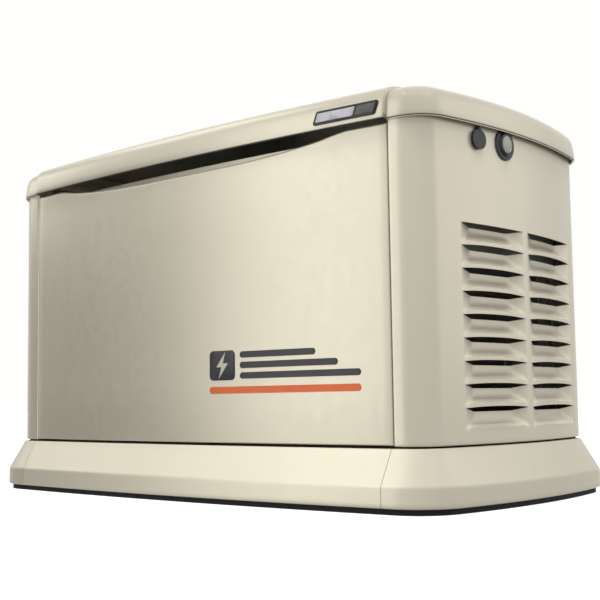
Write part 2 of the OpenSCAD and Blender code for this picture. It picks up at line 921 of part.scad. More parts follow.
module blower_housing()
    color(black_c)
        at_crank() {
            difference() {
                translate([blower_x[0], 0, 0])
                    rotate([90, 0, 90])
                        linear_extrude(blower_x[1] - blower_x[0])
                            blower_outline(0);
                translate([blower_x[0] + blower_t, 0, 0])
                    rotate([90, 0, 90])
                        linear_extrude(blower_x[1] - blower_x[0])
                            blower_outline(blower_t);
                along_x(inlet_r, blower_x[0] - 1, blower_x[0] + blower_t + 1);
            }
            for (r = guard_rs)
                ring_x(r, r - guard_w, blower_x[0] + 0.5, blower_x[0] + blower_t - 0.5);
            for (a = [0 : 45 : 135])
                rotate([a, 0, 0])
                    box([blower_x[0] + 0.2, -inlet_r - 2, -guard_w / 2],
                        [blower_x[0] + blower_t - 0.2, inlet_r + 2, guard_w / 2]);
        }

blades = 20;

module flywheel()
    color(steel_c)
        at_crank()
            difference() {
                union() {
                    along_x(flywheel_r, fly_x[1] - 16, fly_x[1]);
                    along_x(44, fly_x[0] + 4, fly_x[1]);
                    for (i = [0 : blades - 1])
                        rotate([i * 360 / blades, 0, 0])
                            box([fly_x[0], 56, -2], [fly_x[1] - 15, flywheel_r - 6, 2]);
                }
                along_x(journal_r + run_fit, fly_x[0] - 1, fly_x[1] + 1);
            }

web_r = 58;
crankpin_r = 17;
throw = 32;
stub_r = 20;
stub_end = 36;

module crankshaft()
    color(steel_c)
        at_crank() {
            along_x(journal_r, fly_x[0] - 3, -150);
            along_x(journal_r, -70, 8);
            along_x(stub_r, 7, stub_end);
            along_x(web_r, -166, -150);
            along_x(web_r, -70, -54);
            translate([0, 0, throw])
                along_x(crankpin_r, -151, -69);
        }

// ---- alternator ----
core_x = [58, 194];
stator_x = [56, 196];
rotor_r = 80;
air_gap = 1;
winding_r = [84, 108];
bell_x = [196, 232];
hub_x = [212, 240];
shaft_end = 258;
fan_x = [20, 42];

module alternator_rotor()
    color(copper_c)
        at_crank()
            difference() {
                union() {
                    along_x(30, 10, core_x[0] + 1);
                    along_x(rotor_r, core_x[0], core_x[1]);
                    along_x(30, core_x[1] - 1, 206);
                    along_x(shaft_r, 205, shaft_end);
                    along_x(98, fan_x[0], fan_x[0] + 3);
                    for (i = [0 : 11])
                        rotate([i * 30, 0, 0])
                            box([fan_x[0] + 2, 50, -1.5], [fan_x[1], 96, 1.5]);
                }
                along_x(stub_r + run_fit, 9, stub_end);
            }

module ring_x(r_out, r_in, x0, x1)
    difference() {
        along_x(r_out, x0, x1);
        along_x(r_in, x0 - 1, x1 + 1);
    }

module alternator_stator()
    color(steel_c)
        at_crank() {
            ring_x(adapter_r, rotor_r + air_gap, stator_x[0], stator_x[1]);
            ring_x(winding_r[1], winding_r[0], stator_x[0] - 10, stator_x[0] + 1);
            ring_x(winding_r[1], winding_r[0], stator_x[1] - 1, stator_x[1] + 12);
        }

module bearing_carrier()
    color(cast_c)
        difference() {
            union() {
                at_crank() {
                    ring_x(adapter_r, adapter_r - adapter_wall, bell_x[0], bell_x[1]);
                    along_x(adapter_r, bell_x[1] - 8, bell_x[1]);
                    along_x(36, hub_x[0], hub_x[1]);
                }
                box([bell_x[1] - 24, -rail_y - 22, foot_z], [bell_x[1], rail_y + 22, foot_z + 24]);
            }
            at_crank() {
                along_x(shaft_r + run_fit, hub_x[0] - 1, hub_x[1] + 1);
                for (a = [0 : 60 : 300])
                    rotate([a, 0, 0])
                        box([bell_x[1] - 10, -16, 56], [bell_x[1] + 1, 16, 96]);
                along_x(adapter_r - adapter_wall, bell_x[0] - 1, bell_x[1] - 8);
            }
        }

// ---- intake ----
mixer_x = [-145, -75];
mixer_half = 32;
mixer_z = [470, 540];
cleaner_lo = [-205, -85, 540];
cleaner_hi = [-15, 105, 600];
cleaner_cover_h = 40;
hose_r = 12;

// Mixer body in the V, with a hollow runner to the inner face of each head
module intake_mixer() {
    half = head_fin_w / 2;
    color(cast_c)
        difference() {
            union() {
                box([mixer_x[0], crank_y - mixer_half, mixer_z[0]],
                    [mixer_x[1], crank_y + mixer_half, mixer_z[1]]);
                for (side = [-1, 1])
                    translate([head_x[side < 0 ? 0 : 1], crank_y, crank_z + runner_z])
                        rotate([-90 * side, 0, 0])
                            cylinder(r = runner_r, h = 140);
            }
            for (side = [-1, 1]) {
                translate([head_x[side < 0 ? 0 : 1], crank_y, crank_z + runner_z])
                    rotate([-90 * side, 0, 0])
                        cylinder(r = runner_r - 4, h = 150);
                on_cylinder(side)
                    translate([-100, side > 0 ? -half : half - 400, barrel_top - 20])
                        cube([200, 400, 200]);
            }
            translate([(mixer_x[0] + mixer_x[1]) / 2, crank_y, crank_z + runner_z])
                cylinder(r = 22, h = 60);
        }
}

module air_cleaner_box()
    color(black_c)
        difference() {
            box(cleaner_lo, cleaner_hi);
            box(cleaner_lo + [3, 3, 3], cleaner_hi + [-3, -3, 1]);
            translate([(mixer_x[0] + mixer_x[1]) / 2, crank_y, cleaner_lo[2] - 1])
                cylinder(r = 22, h = 5);
            box([cleaner_hi[0] - 5, crank_y - 30, cleaner_hi[2] - 40],
                [cleaner_hi[0] + 1, crank_y + 30, cleaner_hi[2] - 12]);
        }

// A block over the air cleaner, inset from its sides, between two heights above its rim
module cover_block(inset, z0, z1)
    box([cleaner_lo[0] + inset, cleaner_lo[1] + inset, cleaner_hi[2] + z0],
        [cleaner_hi[0] - inset, cleaner_hi[1] - inset, cleaner_hi[2] + z1]);

module air_cleaner_cover()
    color(black_c)
        difference() {
            union() {
                cover_block(-4, 0, 6);
                cover_block(8, 0, cleaner_cover_h);
            }
            cover_block(11, -1, cleaner_cover_h - 3);
        }

// ---- fuel ----
reg_x = 400;
reg_y = [182, 212];
reg_z = 262;
reg_r = 58;
inlet_r_out = 17;
inlet_thread_r = 12.05;
inlet_thread_l = 25;
inlet_y = 325;
nipple_l = 20;

module fuel_regulator()
    color(cast_c) {
        translate([reg_x, reg_y[0] - 4, reg_z])
            rotate([-90, 0, 0]) {
                cylinder(r = reg_r - 14, h = 5);
                translate([0, 0, 4])
                    cylinder(r = reg_r, h = reg_y[1] - reg_y[0]);
            }
        box([reg_x - 5, reg_y[0], inlet_z - 22], [reg_x + 58, reg_y[1], inlet_z + 34]);
        box([reg_x - 15, reg_y[0] + 8, deck_z], [reg_x + 15, reg_y[0] + 13, reg_z - 40]);
        translate([0, (reg_y[0] + reg_y[1]) / 2, reg_z])
            along_x(hose_r - 2, reg_x - reg_r - nipple_l, reg_x - reg_r + 4);
    }

module fuel_inlet()
    color(steel_c)
        translate([inlet_x, reg_y[1], inlet_z])
            rotate([-90, 0, 0])
                difference() {
                    union() {
                        cylinder(r = inlet_r_out, h = inlet_y - reg_y[1]);
                        cylinder(r = inlet_r_out + 7, h = 14, $fn = 6);
                    }
                    translate([0, 0, inlet_y - reg_y[1] - inlet_thread_l])
                        cylinder(r = inlet_thread_r, h = inlet_thread_l + 1);
                    translate([0, 0, -1])
                        cylinder(r = inlet_thread_r - 3, h = inlet_y - reg_y[1]);
                }

// ---- swept tubes ----
function unit(v) = v / norm(v);

// A smooth curve through hand-chosen points, with steps spans between each pair
function spline(p, steps) =
    let (n = len(p) - 1)
    concat([for (i = [0 : n - 1], k = [0 : steps - 1])
        let (t = k / steps, a = p[max(i - 1, 0)], b = p[i], c = p[i + 1], d = p[min(i + 2, n)])
        0.5 * (2 * b + (c - a) * t + (2 * a - 5 * b + 4 * c - d) * pow(t, 2)
            + (3 * b - a - 3 * c + d) * pow(t, 3))], [p[n]]);

function tangent(p, i) = unit(p[min(i + 1, len(p) - 1)] - p[max(i - 1, 0)]);

// Normals carried along the path without twist
function carried(p, i, n) =
    let (t = tangent(p, i), m = unit(n - (n * t) * t))
    i == len(p) - 1 ? [m] : concat([m], carried(p, i + 1, m));

module swept(p, r, sides, first_normal) {
    ns = carried(p, 0, first_normal);
    rings = [for (i = [0 : len(p) - 1], k = [0 : sides - 1])
        let (a = 360 * k / sides)
        p[i] + r * (cos(a) * ns[i] + sin(a) * cross(tangent(p, i), ns[i]))];
    last = (len(p) - 1) * sides;
    walls = [for (i = [0 : len(p) - 2], k = [0 : sides - 1])
        let (a = i * sides + k, b = i * sides + (k + 1) % sides)
        each [[a, a + sides, b], [b, a + sides, b + sides]]];
    polyhedron(rings, concat([[for (k = [0 : sides - 1]) k]], walls,
        [[for (k = [sides - 1 : -1 : 0]) last + k]]), convexity = 6);
}

hose_route = [[321.7, 197, 262], [312, 197, 262], [301, 197, 262], [276, 190, 292], [240, 168, 380],
    [180, 140, 440], [100, 95, 482], [20, 45, 503], [-46, 10, 508], [-60, 10, 508], [-74.6, 10, 508]];
red_route = [[341, -100, 321.4], [341, -100, 327], [341, -100, 333], [334, -130, 345], [314, -164, 326],
    [294, -184, 288], [250, -198, 232], [180, -208, 178], [80, -206, 160], [-20, -203, 165],
    [-80, -190, 205], [-96, -169, 236], [-111, -163, 240]];
black_route = [[479, -100, 321.4], [479, -100, 327], [479, -100, 333], [474, -74, 341], [458, -50, 318],
    [430, -40, 268], [384, -38, 204], [336, -42, 168], [302, -50, 162], [284, -70, 162],
    [282, -82, 152], [282, -82, 146], [282, -82, 139.5]];
cable_r = 5;
hose_sides = 12;
cable_sides = 8;

module fuel_hose() color(rubber_c) swept(spline(hose_route, 3), hose_r, hose_sides, [0, 0, 1]);
module battery_cable_red() color(red_c) swept(spline(red_route, 3), cable_r, cable_sides, [1, 0, 0]);
module battery_cable_black() color(rubber_c) swept(spline(black_route, 3), cable_r, cable_sides, [1, 0, 0]);

// ---- starter and filter ----
starter_at = [-111, 227];
starter_r = 35;
starter_x = [-218, -100];
solenoid_at = [-163, 240];
solenoid_r = 18;
solenoid_x = [-205, -118];
filter_x = -45;
filter_z = 225;
filter_r = 36;
filter_y = [-160, -70];

module starter_motor()
    color(black_c) {
        translate([0, starter_at[0], starter_at[1]]) {
            along_x(starter_r, starter_x[0], starter_x[1] - 14);
            along_x(starter_r - 4, starter_x[1] - 15, starter_x[1]);
        }
        translate([0, solenoid_at[0], solenoid_at[1]]) {
            along_x(solenoid_r, solenoid_x[0], solenoid_x[1]);
            along_x(4, solenoid_x[1] - 1, solenoid_x[1] + 6);
        }
        box([starter_x[0], solenoid_at[0], starter_at[1] - 16],
            [starter_x[0] + 26, starter_at[0], starter_at[1] + 24]);
        box([solenoid_x[0] + 30, solenoid_at[0], starter_at[1] - 4],
            [solenoid_x[1] - 12, starter_at[0], starter_at[1] + 16]);
    }

module oil_filter()
    color(yellow_c)
        translate([filter_x, filter_y[1], filter_z])
            rotate([90, 0, 0]) {
                cylinder(r = filter_r - 6, h = 6);
                translate([0, 0, 5])
                    cylinder(r = filter_r, h = filter_y[1] - filter_y[0] - 11);
                translate([0, 0, filter_y[1] - filter_y[0] - 7])
                    cylinder(r = filter_r - 5, h = 7);
            }

// ---- exhaust ----
muffler_c = [-455, crank_y, 305];
muffler_r = 75;
muffler_half_h = 35;
muffler_y = [-188, 208];
muffler_wall = 2;
tail_r = 22;
tail_x = -562;
leg_t = 3;

module rod(p, q, r) {
    d = q - p;
    translate(p)
        rotate([0, acos(d[2] / norm(d)), atan2(d[1], d[0])])
            cylinder(r = r, h = norm(d));
}

// A bent tube: straight rods with a ball at each bend
module bent(points, r)
    for (i = [0 : len(points) - 2]) {
        rod(points[i], points[i + 1], r);
        if (i > 0)
            translate(points[i])
                sphere(r);
    }

// Route of one exhaust pipe, from the outer face of a head to the end of the muffler
function pipe_route(side, x, extra) =
    let (c = cos(45), half = head_fin_w / 2)
    let (port = [x, crank_y + side * c * (port_d + half), crank_z + c * (port_d - half)])
    let (y = crank_y + side * pipe_out, y_muffler = side < 0 ? muffler_y[0] : muffler_y[1])
    [port + extra * [0, -side, 1], [x, y, pipe_z], [muffler_c[0], y, pipe_z],
        [muffler_c[0], y_muffler - side * extra, pipe_z]];

module exhaust_pipes()
    color(steel_c)
        for (side = [-1, 1]) {
            x = head_x[side < 0 ? 0 : 1];
            difference() {
                bent(pipe_route(side, x, -pipe_gap), pipe_r);
                bent(pipe_route(side, x, 3), pipe_r - pipe_wall);
            }
        }

module muffler_form(inset)
    translate([muffler_c[0], muffler_y[1] - inset, muffler_c[2]])
        rotate([90, 0, 0])
            linear_extrude(muffler_y[1] - muffler_y[0] - 2 * inset) {
                for (k = [-1, 1])
                    translate([0, k * muffler_half_h])
                        circle(muffler_r - inset);
                square([2 * (muffler_r - inset), 2 * muffler_half_h], center = true);
            }

module muffler()
    color(steel_c)
        difference() {
            union() {
                muffler_form(0);
                translate([0, muffler_c[1], muffler_c[2] - 40])
                    along_x(tail_r, tail_x, muffler_c[0]);
                for (y = [-120, 140])
                    box([muffler_c[0] - 45, y, deck_z], [muffler_c[0] + 45, y + leg_t, muffler_c[2]]);
            }
            muffler_form(muffler_wall);
            translate([0, muffler_c[1], muffler_c[2] - 40])
                along_x(tail_r - muffler_wall, tail_x - 1, muffler_c[0]);
            for (side = [-1, 1])
                translate([muffler_c[0], side < 0 ? muffler_y[0] : muffler_y[1], pipe_z])
                    rotate([90, 0, 0])
                        cylinder(r = pipe_r - pipe_wall, h = 20, center = true);
        }

// ---- battery ----
battery_lo = [306, -235, deck_z + 4];
battery_size = [208, 173, 190];
post_r = 9;
post_h = 18;
post_in = 35;
tray_t = 3;
strap_w = 24;

module battery() {
    hi = battery_lo + battery_size;
    color(black_c) {
        box(battery_lo, hi - [0, 0, 22]);
        box(battery_lo + [3, 3, battery_size[2] - 23], hi - [3, 3, 0]);
        for (x = [battery_lo[0] + post_in, hi[0] - post_in])
            translate([x, -100, hi[2] - 1])
                cylinder(r = post_r, h = post_h + 1);
    }
}

module battery_tray() {
    hi = battery_lo + battery_size;
    mid = (battery_lo[0] + hi[0]) / 2;
    lo = battery_lo - [4, 4, 0];
    out = hi + [4, 4, 0];
    color(black_c) {
        difference() {
            box([lo[0], lo[1], deck_z], [out[0], out[1], deck_z + 26]);
            box([lo[0] + tray_t, lo[1] + tray_t, deck_z + tray_t],
                [out[0] - tray_t, out[1] - tray_t, deck_z + 27]);
        }
        difference() {
            box([mid - strap_w / 2, lo[1] + 1, deck_z + 2], [mid + strap_w / 2, out[1] - 1, hi[2] + 2.5]);
            box([mid - strap_w, battery_lo[1] - 0.5, deck_z],
                [mid + strap_w, hi[1] + 0.5, hi[2] + 0.5]);
        }
    }
}

// ---- control box, controller and breaker ----
ctrl_x = [295, 535];
ctrl_y = [-190, 225];
ctrl_z = [440, 640];
slope_low_z = 540;
slope_top_y = -60;
ctrl_t = 2;
post_x = [[295, 315], [500, 518]];
slope_a = atan2(ctrl_z[1] - slope_low_z, slope_top_y - ctrl_y[0]);
slope_l = norm([slope_top_y - ctrl_y[0], ctrl_z[1] - slope_low_z]);
cable_hole_r = 20;

module ctrl_profile(inset, x0, x1)
    translate([x0, 0, 0])
        rotate([90, 0, 90])
            linear_extrude(x1 - x0)
                polygon([[ctrl_y[0] + inset, ctrl_z[0] + inset], [ctrl_y[1] - inset, ctrl_z[0] + inset],
                    [ctrl_y[1] - inset, ctrl_z[1] - inset],
                    [slope_top_y + inset * tan(slope_a / 2), ctrl_z[1] - inset],
                    [ctrl_y[0] + inset, slope_low_z - inset * tan(45 - slope_a / 2)]]);

module control_box()
    color(steel_c) {
        difference() {
            ctrl_profile(0, ctrl_x[0], ctrl_x[1]);
            ctrl_profile(ctrl_t, ctrl_x[0] + ctrl_t, ctrl_x[1] - ctrl_t);
            translate([ctrl_x[0] + 60, 120, ctrl_z[0] - 1])
                cylinder(r = cable_hole_r, h = ctrl_t + 2);
        }
        for (p = post_x)
            box([p[0], ctrl_y[1] - 3, deck_z], [p[1], ctrl_y[1], ctrl_z[0] + 1]);
        for (p = post_x)
            box([p[0], ctrl_y[1] - 10, deck_z], [p[0] + 3, ctrl_y[1], ctrl_z[0] + 1]);
    }

// Children placed on the control box's sloping face, local +Y up the slope, local +Z outward
module on_slope(x, up)
    translate([x, ctrl_y[0], slope_low_z])
        rotate([slope_a, 0, 0])
            translate([0, up, 0])
                children();

controller_x = 453;
controller_w = 150;
controller_h = 128;
controller_t = 18;
button_xs = [-42, 0, 42];
button_up = -38;
button_r = 7.5;
button_gap = 0.3;
button_floor = 8;
button_proud = 3;

module controller()
    color(trim_c)
        on_slope(controller_x, slope_l / 2)
            difference() {
                round_plate(controller_w, controller_h, 9, controller_t);
                for (x = button_xs)
                    translate([x, button_up, button_floor])
                        cylinder(r = button_r + button_gap, h = controller_t);
                translate([-50, 2, controller_t - 1.5])
                    cube([100, 42, 3]);
            }

module mode_button(i, c)
    color(c)
        on_slope(controller_x + button_xs[i], slope_l / 2 + button_up)
            translate([0, 0, button_floor + 2])
                cylinder(r = button_r, h = controller_t - button_floor - 2 + button_proud);

module auto_button() mode_button(0, [0.10, 0.35, 0.75]);
module off_button() mode_button(1, red_c);
module manual_button() mode_button(2, [0.15, 0.55, 0.25]);

breaker_x = 336;
breaker_w = 52;
breaker_h = 118;
breaker_t = 34;
lever_z = 25;
lever_r = 9;
lever_w = 14;
lever_pin_r = 2;
lever_rest = 20;
handle_t = 7;
handle_l = 30;

module breaker()
    color(trim_c)
        on_slope(breaker_x, slope_l / 2) {
            difference() {
                round_plate(breaker_w, breaker_h, 3, breaker_t);
                translate([0, 0, lever_z])
                    along_x(lever_r + 0.4, -lever_w / 2 - 0.4, lever_w / 2 + 0.4);
                box([-lever_w / 2 - 0.4, -16, lever_z], [lever_w / 2 + 0.4, 16, breaker_t + 1]);
            }
            translate([0, 0, lever_z])
                along_x(lever_pin_r, -lever_w / 2 - 1, lever_w / 2 + 1);
        }

// Lever, tilted down the slope when the breaker is open
module breaker_lever()
    color(black_c)
        on_slope(breaker_x, slope_l / 2)
            translate([0, 0, lever_z])
                rotate([lever_rest, 0, 0])
                    difference() {
                        union() {
                            along_x(lever_r, -lever_w / 2, lever_w / 2);
                            box([-lever_w / 2, -handle_t / 2, 0], [lever_w / 2, handle_t / 2, handle_l]);
                        }
                        along_x(lever_pin_r + run_fit, -lever_w, lever_w);
                    }

base_pad();
fascia_front();
fascia_rear();
fascia_left();
fascia_right();
end_panel_left();
end_panel_right();
rear_panel();
front_panel();
case_screws();
lid_roof();
lid_end_left();
lid_end_right();
badge();
hinge_leaves_body();
hinge_leaves_lid();
hinge_pins();
lock_sleeves();
lock_barrel_right();
lock_barrel_left();
dust_cover_right();
dust_cover_left();
status_bezel();
status_lens();
exhaust_partition();
mounting_frame();
rubber_mounts();
crankcase();
head_front();
head_rear();
rocker_cover_front();
rocker_cover_rear();
blower_housing();
flywheel();
crankshaft();
alternator_rotor();
alternator_stator();
bearing_carrier();
air_cleaner_box();
air_cleaner_cover();
intake_mixer();
fuel_regulator();
fuel_inlet();
fuel_hose();
starter_motor();
oil_filter();
oil_cap();
exhaust_pipes();
muffler();
battery();
battery_tray();
battery_cable_red();
battery_cable_black();
control_box();
controller();
auto_button();
off_button();
manual_button();
breaker();
breaker_lever();
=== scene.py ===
"""Looks of a home standby generator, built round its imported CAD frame."""

import bmesh
import bpy
import math
from mathutils import Matrix, Vector


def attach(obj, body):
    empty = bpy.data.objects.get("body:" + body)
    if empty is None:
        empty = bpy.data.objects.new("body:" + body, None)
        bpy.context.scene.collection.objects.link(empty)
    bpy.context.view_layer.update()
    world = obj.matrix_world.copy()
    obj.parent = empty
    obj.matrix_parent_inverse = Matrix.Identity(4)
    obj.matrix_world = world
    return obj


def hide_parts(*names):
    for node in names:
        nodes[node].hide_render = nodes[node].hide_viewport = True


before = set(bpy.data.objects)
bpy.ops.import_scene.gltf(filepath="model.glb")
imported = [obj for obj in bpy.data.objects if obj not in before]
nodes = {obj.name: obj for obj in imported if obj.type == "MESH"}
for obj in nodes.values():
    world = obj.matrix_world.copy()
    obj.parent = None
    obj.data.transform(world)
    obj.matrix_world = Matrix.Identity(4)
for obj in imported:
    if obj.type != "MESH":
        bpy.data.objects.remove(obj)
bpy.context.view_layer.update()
MM = 0.001

# ---- camera: the photograph's standpoint, low and to the right of the front ----
CAM_AT = (1.5816, -1.7716, 0.1884)
CAM_TURN, CAM_PITCH, CAM_ROLL = (math.radians(a) for a in (40.7, 5.2, -0.8))
CAM_LENS, CAM_SHIFT = 65.46, (-0.0043, 0.0018)
forward = Vector((-math.sin(CAM_TURN) * math.cos(CAM_PITCH), math.cos(CAM_TURN) * math.cos(CAM_PITCH),
                  math.sin(CAM_PITCH)))
level = Vector((math.cos(CAM_TURN), math.sin(CAM_TURN), 0))
upright = level.cross(forward)
cam_x = level * math.cos(CAM_ROLL) + upright * math.sin(CAM_ROLL)
cam_y = upright * math.cos(CAM_ROLL) - level * math.sin(CAM_ROLL)
camera = bpy.data.objects.new("camera", bpy.data.cameras.new("camera"))
camera.matrix_world = Matrix.Translation(CAM_AT) @ Matrix((cam_x, cam_y, -forward)).transposed().to_4x4()
camera.data.sensor_width = 36
camera.data.lens = CAM_LENS
camera.data.shift_x, camera.data.shift_y = CAM_SHIFT
camera.data.clip_start = 0.05
bpy.context.scene.collection.objects.link(camera)
bpy.context.scene.camera = camera


# ---- materials ----
class Nodes:
    """A material's node tree with short names for the nodes that most finishes use."""

    def __init__(self, name):
        self.material = bpy.data.materials.new(name)
        self.material.use_nodes = True
        self.tree = self.material.node_tree
        self.shader = self.tree.nodes["Principled BSDF"]
        self.where = self.tree.nodes.new("ShaderNodeTexCoord").outputs["Object"]

    def link(self, a, b):
        self.tree.links.new(a, b)

    def stretch(self, scale):
        m = self.tree.nodes.new("ShaderNodeMapping")
        m.inputs["Scale"].default_value = scale
        self.link(self.where, m.inputs["Vector"])
        return m.outputs["Vector"]

    def noise(self, scale, detail=3.0, rough=0.55, vector=None):
        n = self.tree.nodes.new("ShaderNodeTexNoise")
        n.inputs["Scale"].default_value = scale
        n.inputs["Detail"].default_value = detail
        n.inputs["Roughness"].default_value = rough
        self.link(vector or self.where, n.inputs["Vector"])
        return n.outputs["Fac"]

    def cells(self, scale, feature="F1"):
        n = self.tree.nodes.new("ShaderNodeTexVoronoi")
        n.feature = feature
        n.inputs["Scale"].default_value = scale
        self.link(self.where, n.inputs["Vector"])
        return n.outputs["Distance"]

    def bands(self, scale, direction, distortion):
        n = self.tree.nodes.new("ShaderNodeTexWave")
        n.bands_direction = direction
        n.inputs["Scale"].default_value = scale
        n.inputs["Distortion"].default_value = distortion
        self.link(self.where, n.inputs["Vector"])
        return n.outputs["Fac"]

    def ramp(self, value, stops):
        r = self.tree.nodes.new("ShaderNodeValToRGB")
        while len(r.color_ramp.elements) < len(stops):
            r.color_ramp.elements.new(0.5)
        for e, (at, colour) in zip(r.color_ramp.elements, stops):
            e.position = at
            e.color = (*colour, 1)
        self.link(value, r.inputs["Fac"])
        return r.outputs["Color"]

    def span(self, value, low, high, from_low=0.3, from_high=0.7):
        r = self.tree.nodes.new("ShaderNodeMapRange")
        for k, v in zip(("From Min", "From Max", "To Min", "To Max"), (from_low, from_high, low, high)):
            r.inputs[k].default_value = v
        self.link(value, r.inputs["Value"])
        return r.outputs["Result"]

    def mix(self, factor, a, b):
        m = self.tree.nodes.new("ShaderNodeMix")
        m.data_type = "RGBA"
        for socket, value in ((m.inputs[0], factor), (m.inputs[6], a), (m.inputs[7], b)):
            if isinstance(value, bpy.types.NodeSocket):
                self.link(value, socket)
            else:
                socket.default_value = value if isinstance(value, (int, float)) else (*value, 1)
        return m.outputs[2]

    def height(self):
        xyz = self.tree.nodes.new("ShaderNodeSeparateXYZ")
        self.link(self.where, xyz.inputs["Vector"])
        return xyz.outputs["Z"]

    def set(self, **values):
        for key, value in values.items():
            socket = self.shader.inputs[key.replace("_", " ")]
            if isinstance(value, bpy.types.NodeSocket):
                self.link(value, socket)
            else:
                socket.default_value = (*value, 1) if isinstance(value, tuple) and len(value) == 3 else value

    def bump(self, *layers):
        """Stacks bumps: each layer is (height, strength, distance in metres)."""
        last = None
        for value, strength, distance in layers:
            b = self.tree.nodes.new("ShaderNodeBump")
            b.inputs["Strength"].default_value = strength
            b.inputs["Distance"].default_value = distance
            self.link(value, b.inputs["Height"])
            if last:
                self.link(last, b.inputs["Normal"])
            last = b.outputs["Normal"]
        self.link(last, self.shader.inputs["Normal"])
        return self.material


DUST = (0.42, 0.38, 0.30)


def tint(c, k):
    """The colour c made lighter or darker by the factor k."""
    return tuple(min(1.0, v * k) for v in c)


def powder_coat(name, colour, rough=0.34, coat=0.2, sheen=0.5):
    """Baked powder paint, faintly clouded, with a little dust near the ground. sheen is its metallic share."""
    n = Nodes(name)
    cloud = n.noise(3.5, 4)
    shade = n.mix(n.span(cloud, 0, 1), tint(colour, 0.975), tint(colour, 1.02))
    dust = n.span(n.height(), 0.0, 1.0, 0.30, 0.08)
    grime = n.mix(n.span(n.noise(38, 5, 0.65), 0, 0.22, 0.42, 0.75), shade, DUST)
    n.set(Base_Color=n.mix(n.mix(0.82, dust, (0, 0, 0)), shade, grime))
    n.set(Roughness=n.span(n.noise(55, 4), rough - 0.025, rough + 0.03))
    n.set(Coat_Weight=coat, Coat_Roughness=0.22, Specular_IOR_Level=0.5, Metallic=sheen)
    return n.bump((n.noise(950, 2), 0.05, 0.0004), (n.noise(160, 2), 0.03, 0.0012))


def moulded(name, colour, rough=0.5, grain=1700, strength=0.16):
    n = Nodes(name)
    n.set(Base_Color=n.mix(n.span(n.noise(9, 4), 0, 1), tint(colour, 0.93), tint(colour, 1.06)))
    n.set(Roughness=n.span(n.noise(120, 3), rough - 0.05, rough + 0.06))
    return n.bump((n.cells(grain, "SMOOTH_F1"), strength, 0.0003), (n.noise(70, 3), 0.04, 0.001))


def gloss(name, colour, rough=0.16, coat=0.5):
    n = Nodes(name)
    n.set(Base_Color=n.mix(n.span(n.noise(30, 3), 0, 1), tint(colour, 0.95), tint(colour, 1.05)))
    n.set(Roughness=n.span(n.noise(240, 4), rough - 0.04, rough + 0.08), Coat_Weight=coat, Coat_Roughness=0.08)
    return n.bump((n.noise(420, 2), 0.03, 0.0003))


def sheet_steel(name, colour, rough=0.38):
    """Zinc-coated sheet with its spangle."""
    n = Nodes(name)
    spangle = n.cells(130)
    n.set(Base_Color=n.mix(n.span(spangle, 0, 1, 0.0, 0.6), tint(colour, 1.08), tint(colour, 0.78)), Metallic=0.92)
    n.set(Roughness=n.span(spangle, rough - 0.1, rough + 0.12, 0.0, 0.6))
    return n.bump((n.noise(700, 3), 0.06, 0.0004))


def cast_metal(name, colour, rough=0.5, metal=0.85):
    n = Nodes(name)
    patch = n.noise(24, 5, 0.6)
    n.set(Base_Color=n.mix(n.span(patch, 0, 1), tint(colour, 0.8), tint(colour, 1.08)), Metallic=metal)
    n.set(Roughness=n.span(n.noise(180, 4), rough - 0.08, rough + 0.12))
    return n.bump((n.noise(900, 5, 0.7), 0.32, 0.0006), (n.noise(60, 3), 0.08, 0.002))


def turned_steel(name, colour, rough=0.24):
    n = Nodes(name)
    lines = n.noise(60, 4, 0.6, n.stretch((60, 1.5, 1.5)))
    n.set(Base_Color=n.mix(n.span(lines, 0, 1), tint(colour, 0.82), tint(colour, 1.08)), Metallic=1.0)
    n.set(Roughness=n.span(lines, rough - 0.06, rough + 0.14))
    return n.bump((lines, 0.1, 0.0003))


def soft_rubber(name, colour, rough=0.62):
    n = Nodes(name)
    n.set(Base_Color=n.mix(n.span(n.noise(14, 4), 0, 1), tint(colour, 0.8), tint(colour, 1.35)))
    n.set(Roughness=n.span(n.noise(140, 3), rough - 0.08, rough + 0.1), Sheen_Weight=0.12, Sheen_Roughness=0.5)
    return n.bump((n.noise(1300, 3), 0.14, 0.0003))


def varnished(name, dark, light, pitch, direction):
    """Wound wire or stacked laminations: fine bands under varnish."""
    n = Nodes(name)
    wires = n.bands(pitch, direction, 0.4)
    n.set(Base_Color=n.mix(n.span(wires, 0, 1, 0.1, 0.9), dark, light), Metallic=0.75)
    n.set(Roughness=n.span(n.noise(90, 3), 0.26, 0.42), Coat_Weight=0.4, Coat_Roughness=0.15)
    return n.bump((wires, 0.6, 0.0008), (n.noise(500, 3), 0.08, 0.0003))


def hot_steel(name):
    n = Nodes(name)
    heat = n.noise(11, 4, 0.6, n.stretch((1, 1.6, 1)))
    colour = n.ramp(heat, [(0.25, (0.30, 0.27, 0.25)), (0.42, (0.46, 0.42, 0.38)), (0.52, (0.50, 0.40, 0.26)),
                           (0.60, (0.33, 0.22, 0.20)), (0.68, (0.22, 0.24, 0.34)), (0.80, (0.45, 0.43, 0.41))])
    n.set(Base_Color=n.mix(0.55, (0.50, 0.49, 0.47), colour), Metallic=0.95)
    n.set(Roughness=n.span(n.noise(70, 5), 0.34, 0.56))
    return n.bump((n.noise(480, 4), 0.1, 0.0004))


def glass(name, colour, rough):
    n = Nodes(name)
    n.set(Base_Color=n.mix(n.span(n.noise(60, 2), 0, 1), tint(colour, 0.96), tint(colour, 1.04)))
    n.set(Roughness=n.span(n.noise(300, 3), rough, rough + 0.05), Transmission_Weight=0.45, IOR=1.49)
    return n.bump((n.noise(90, 2), 0.02, 0.0005))


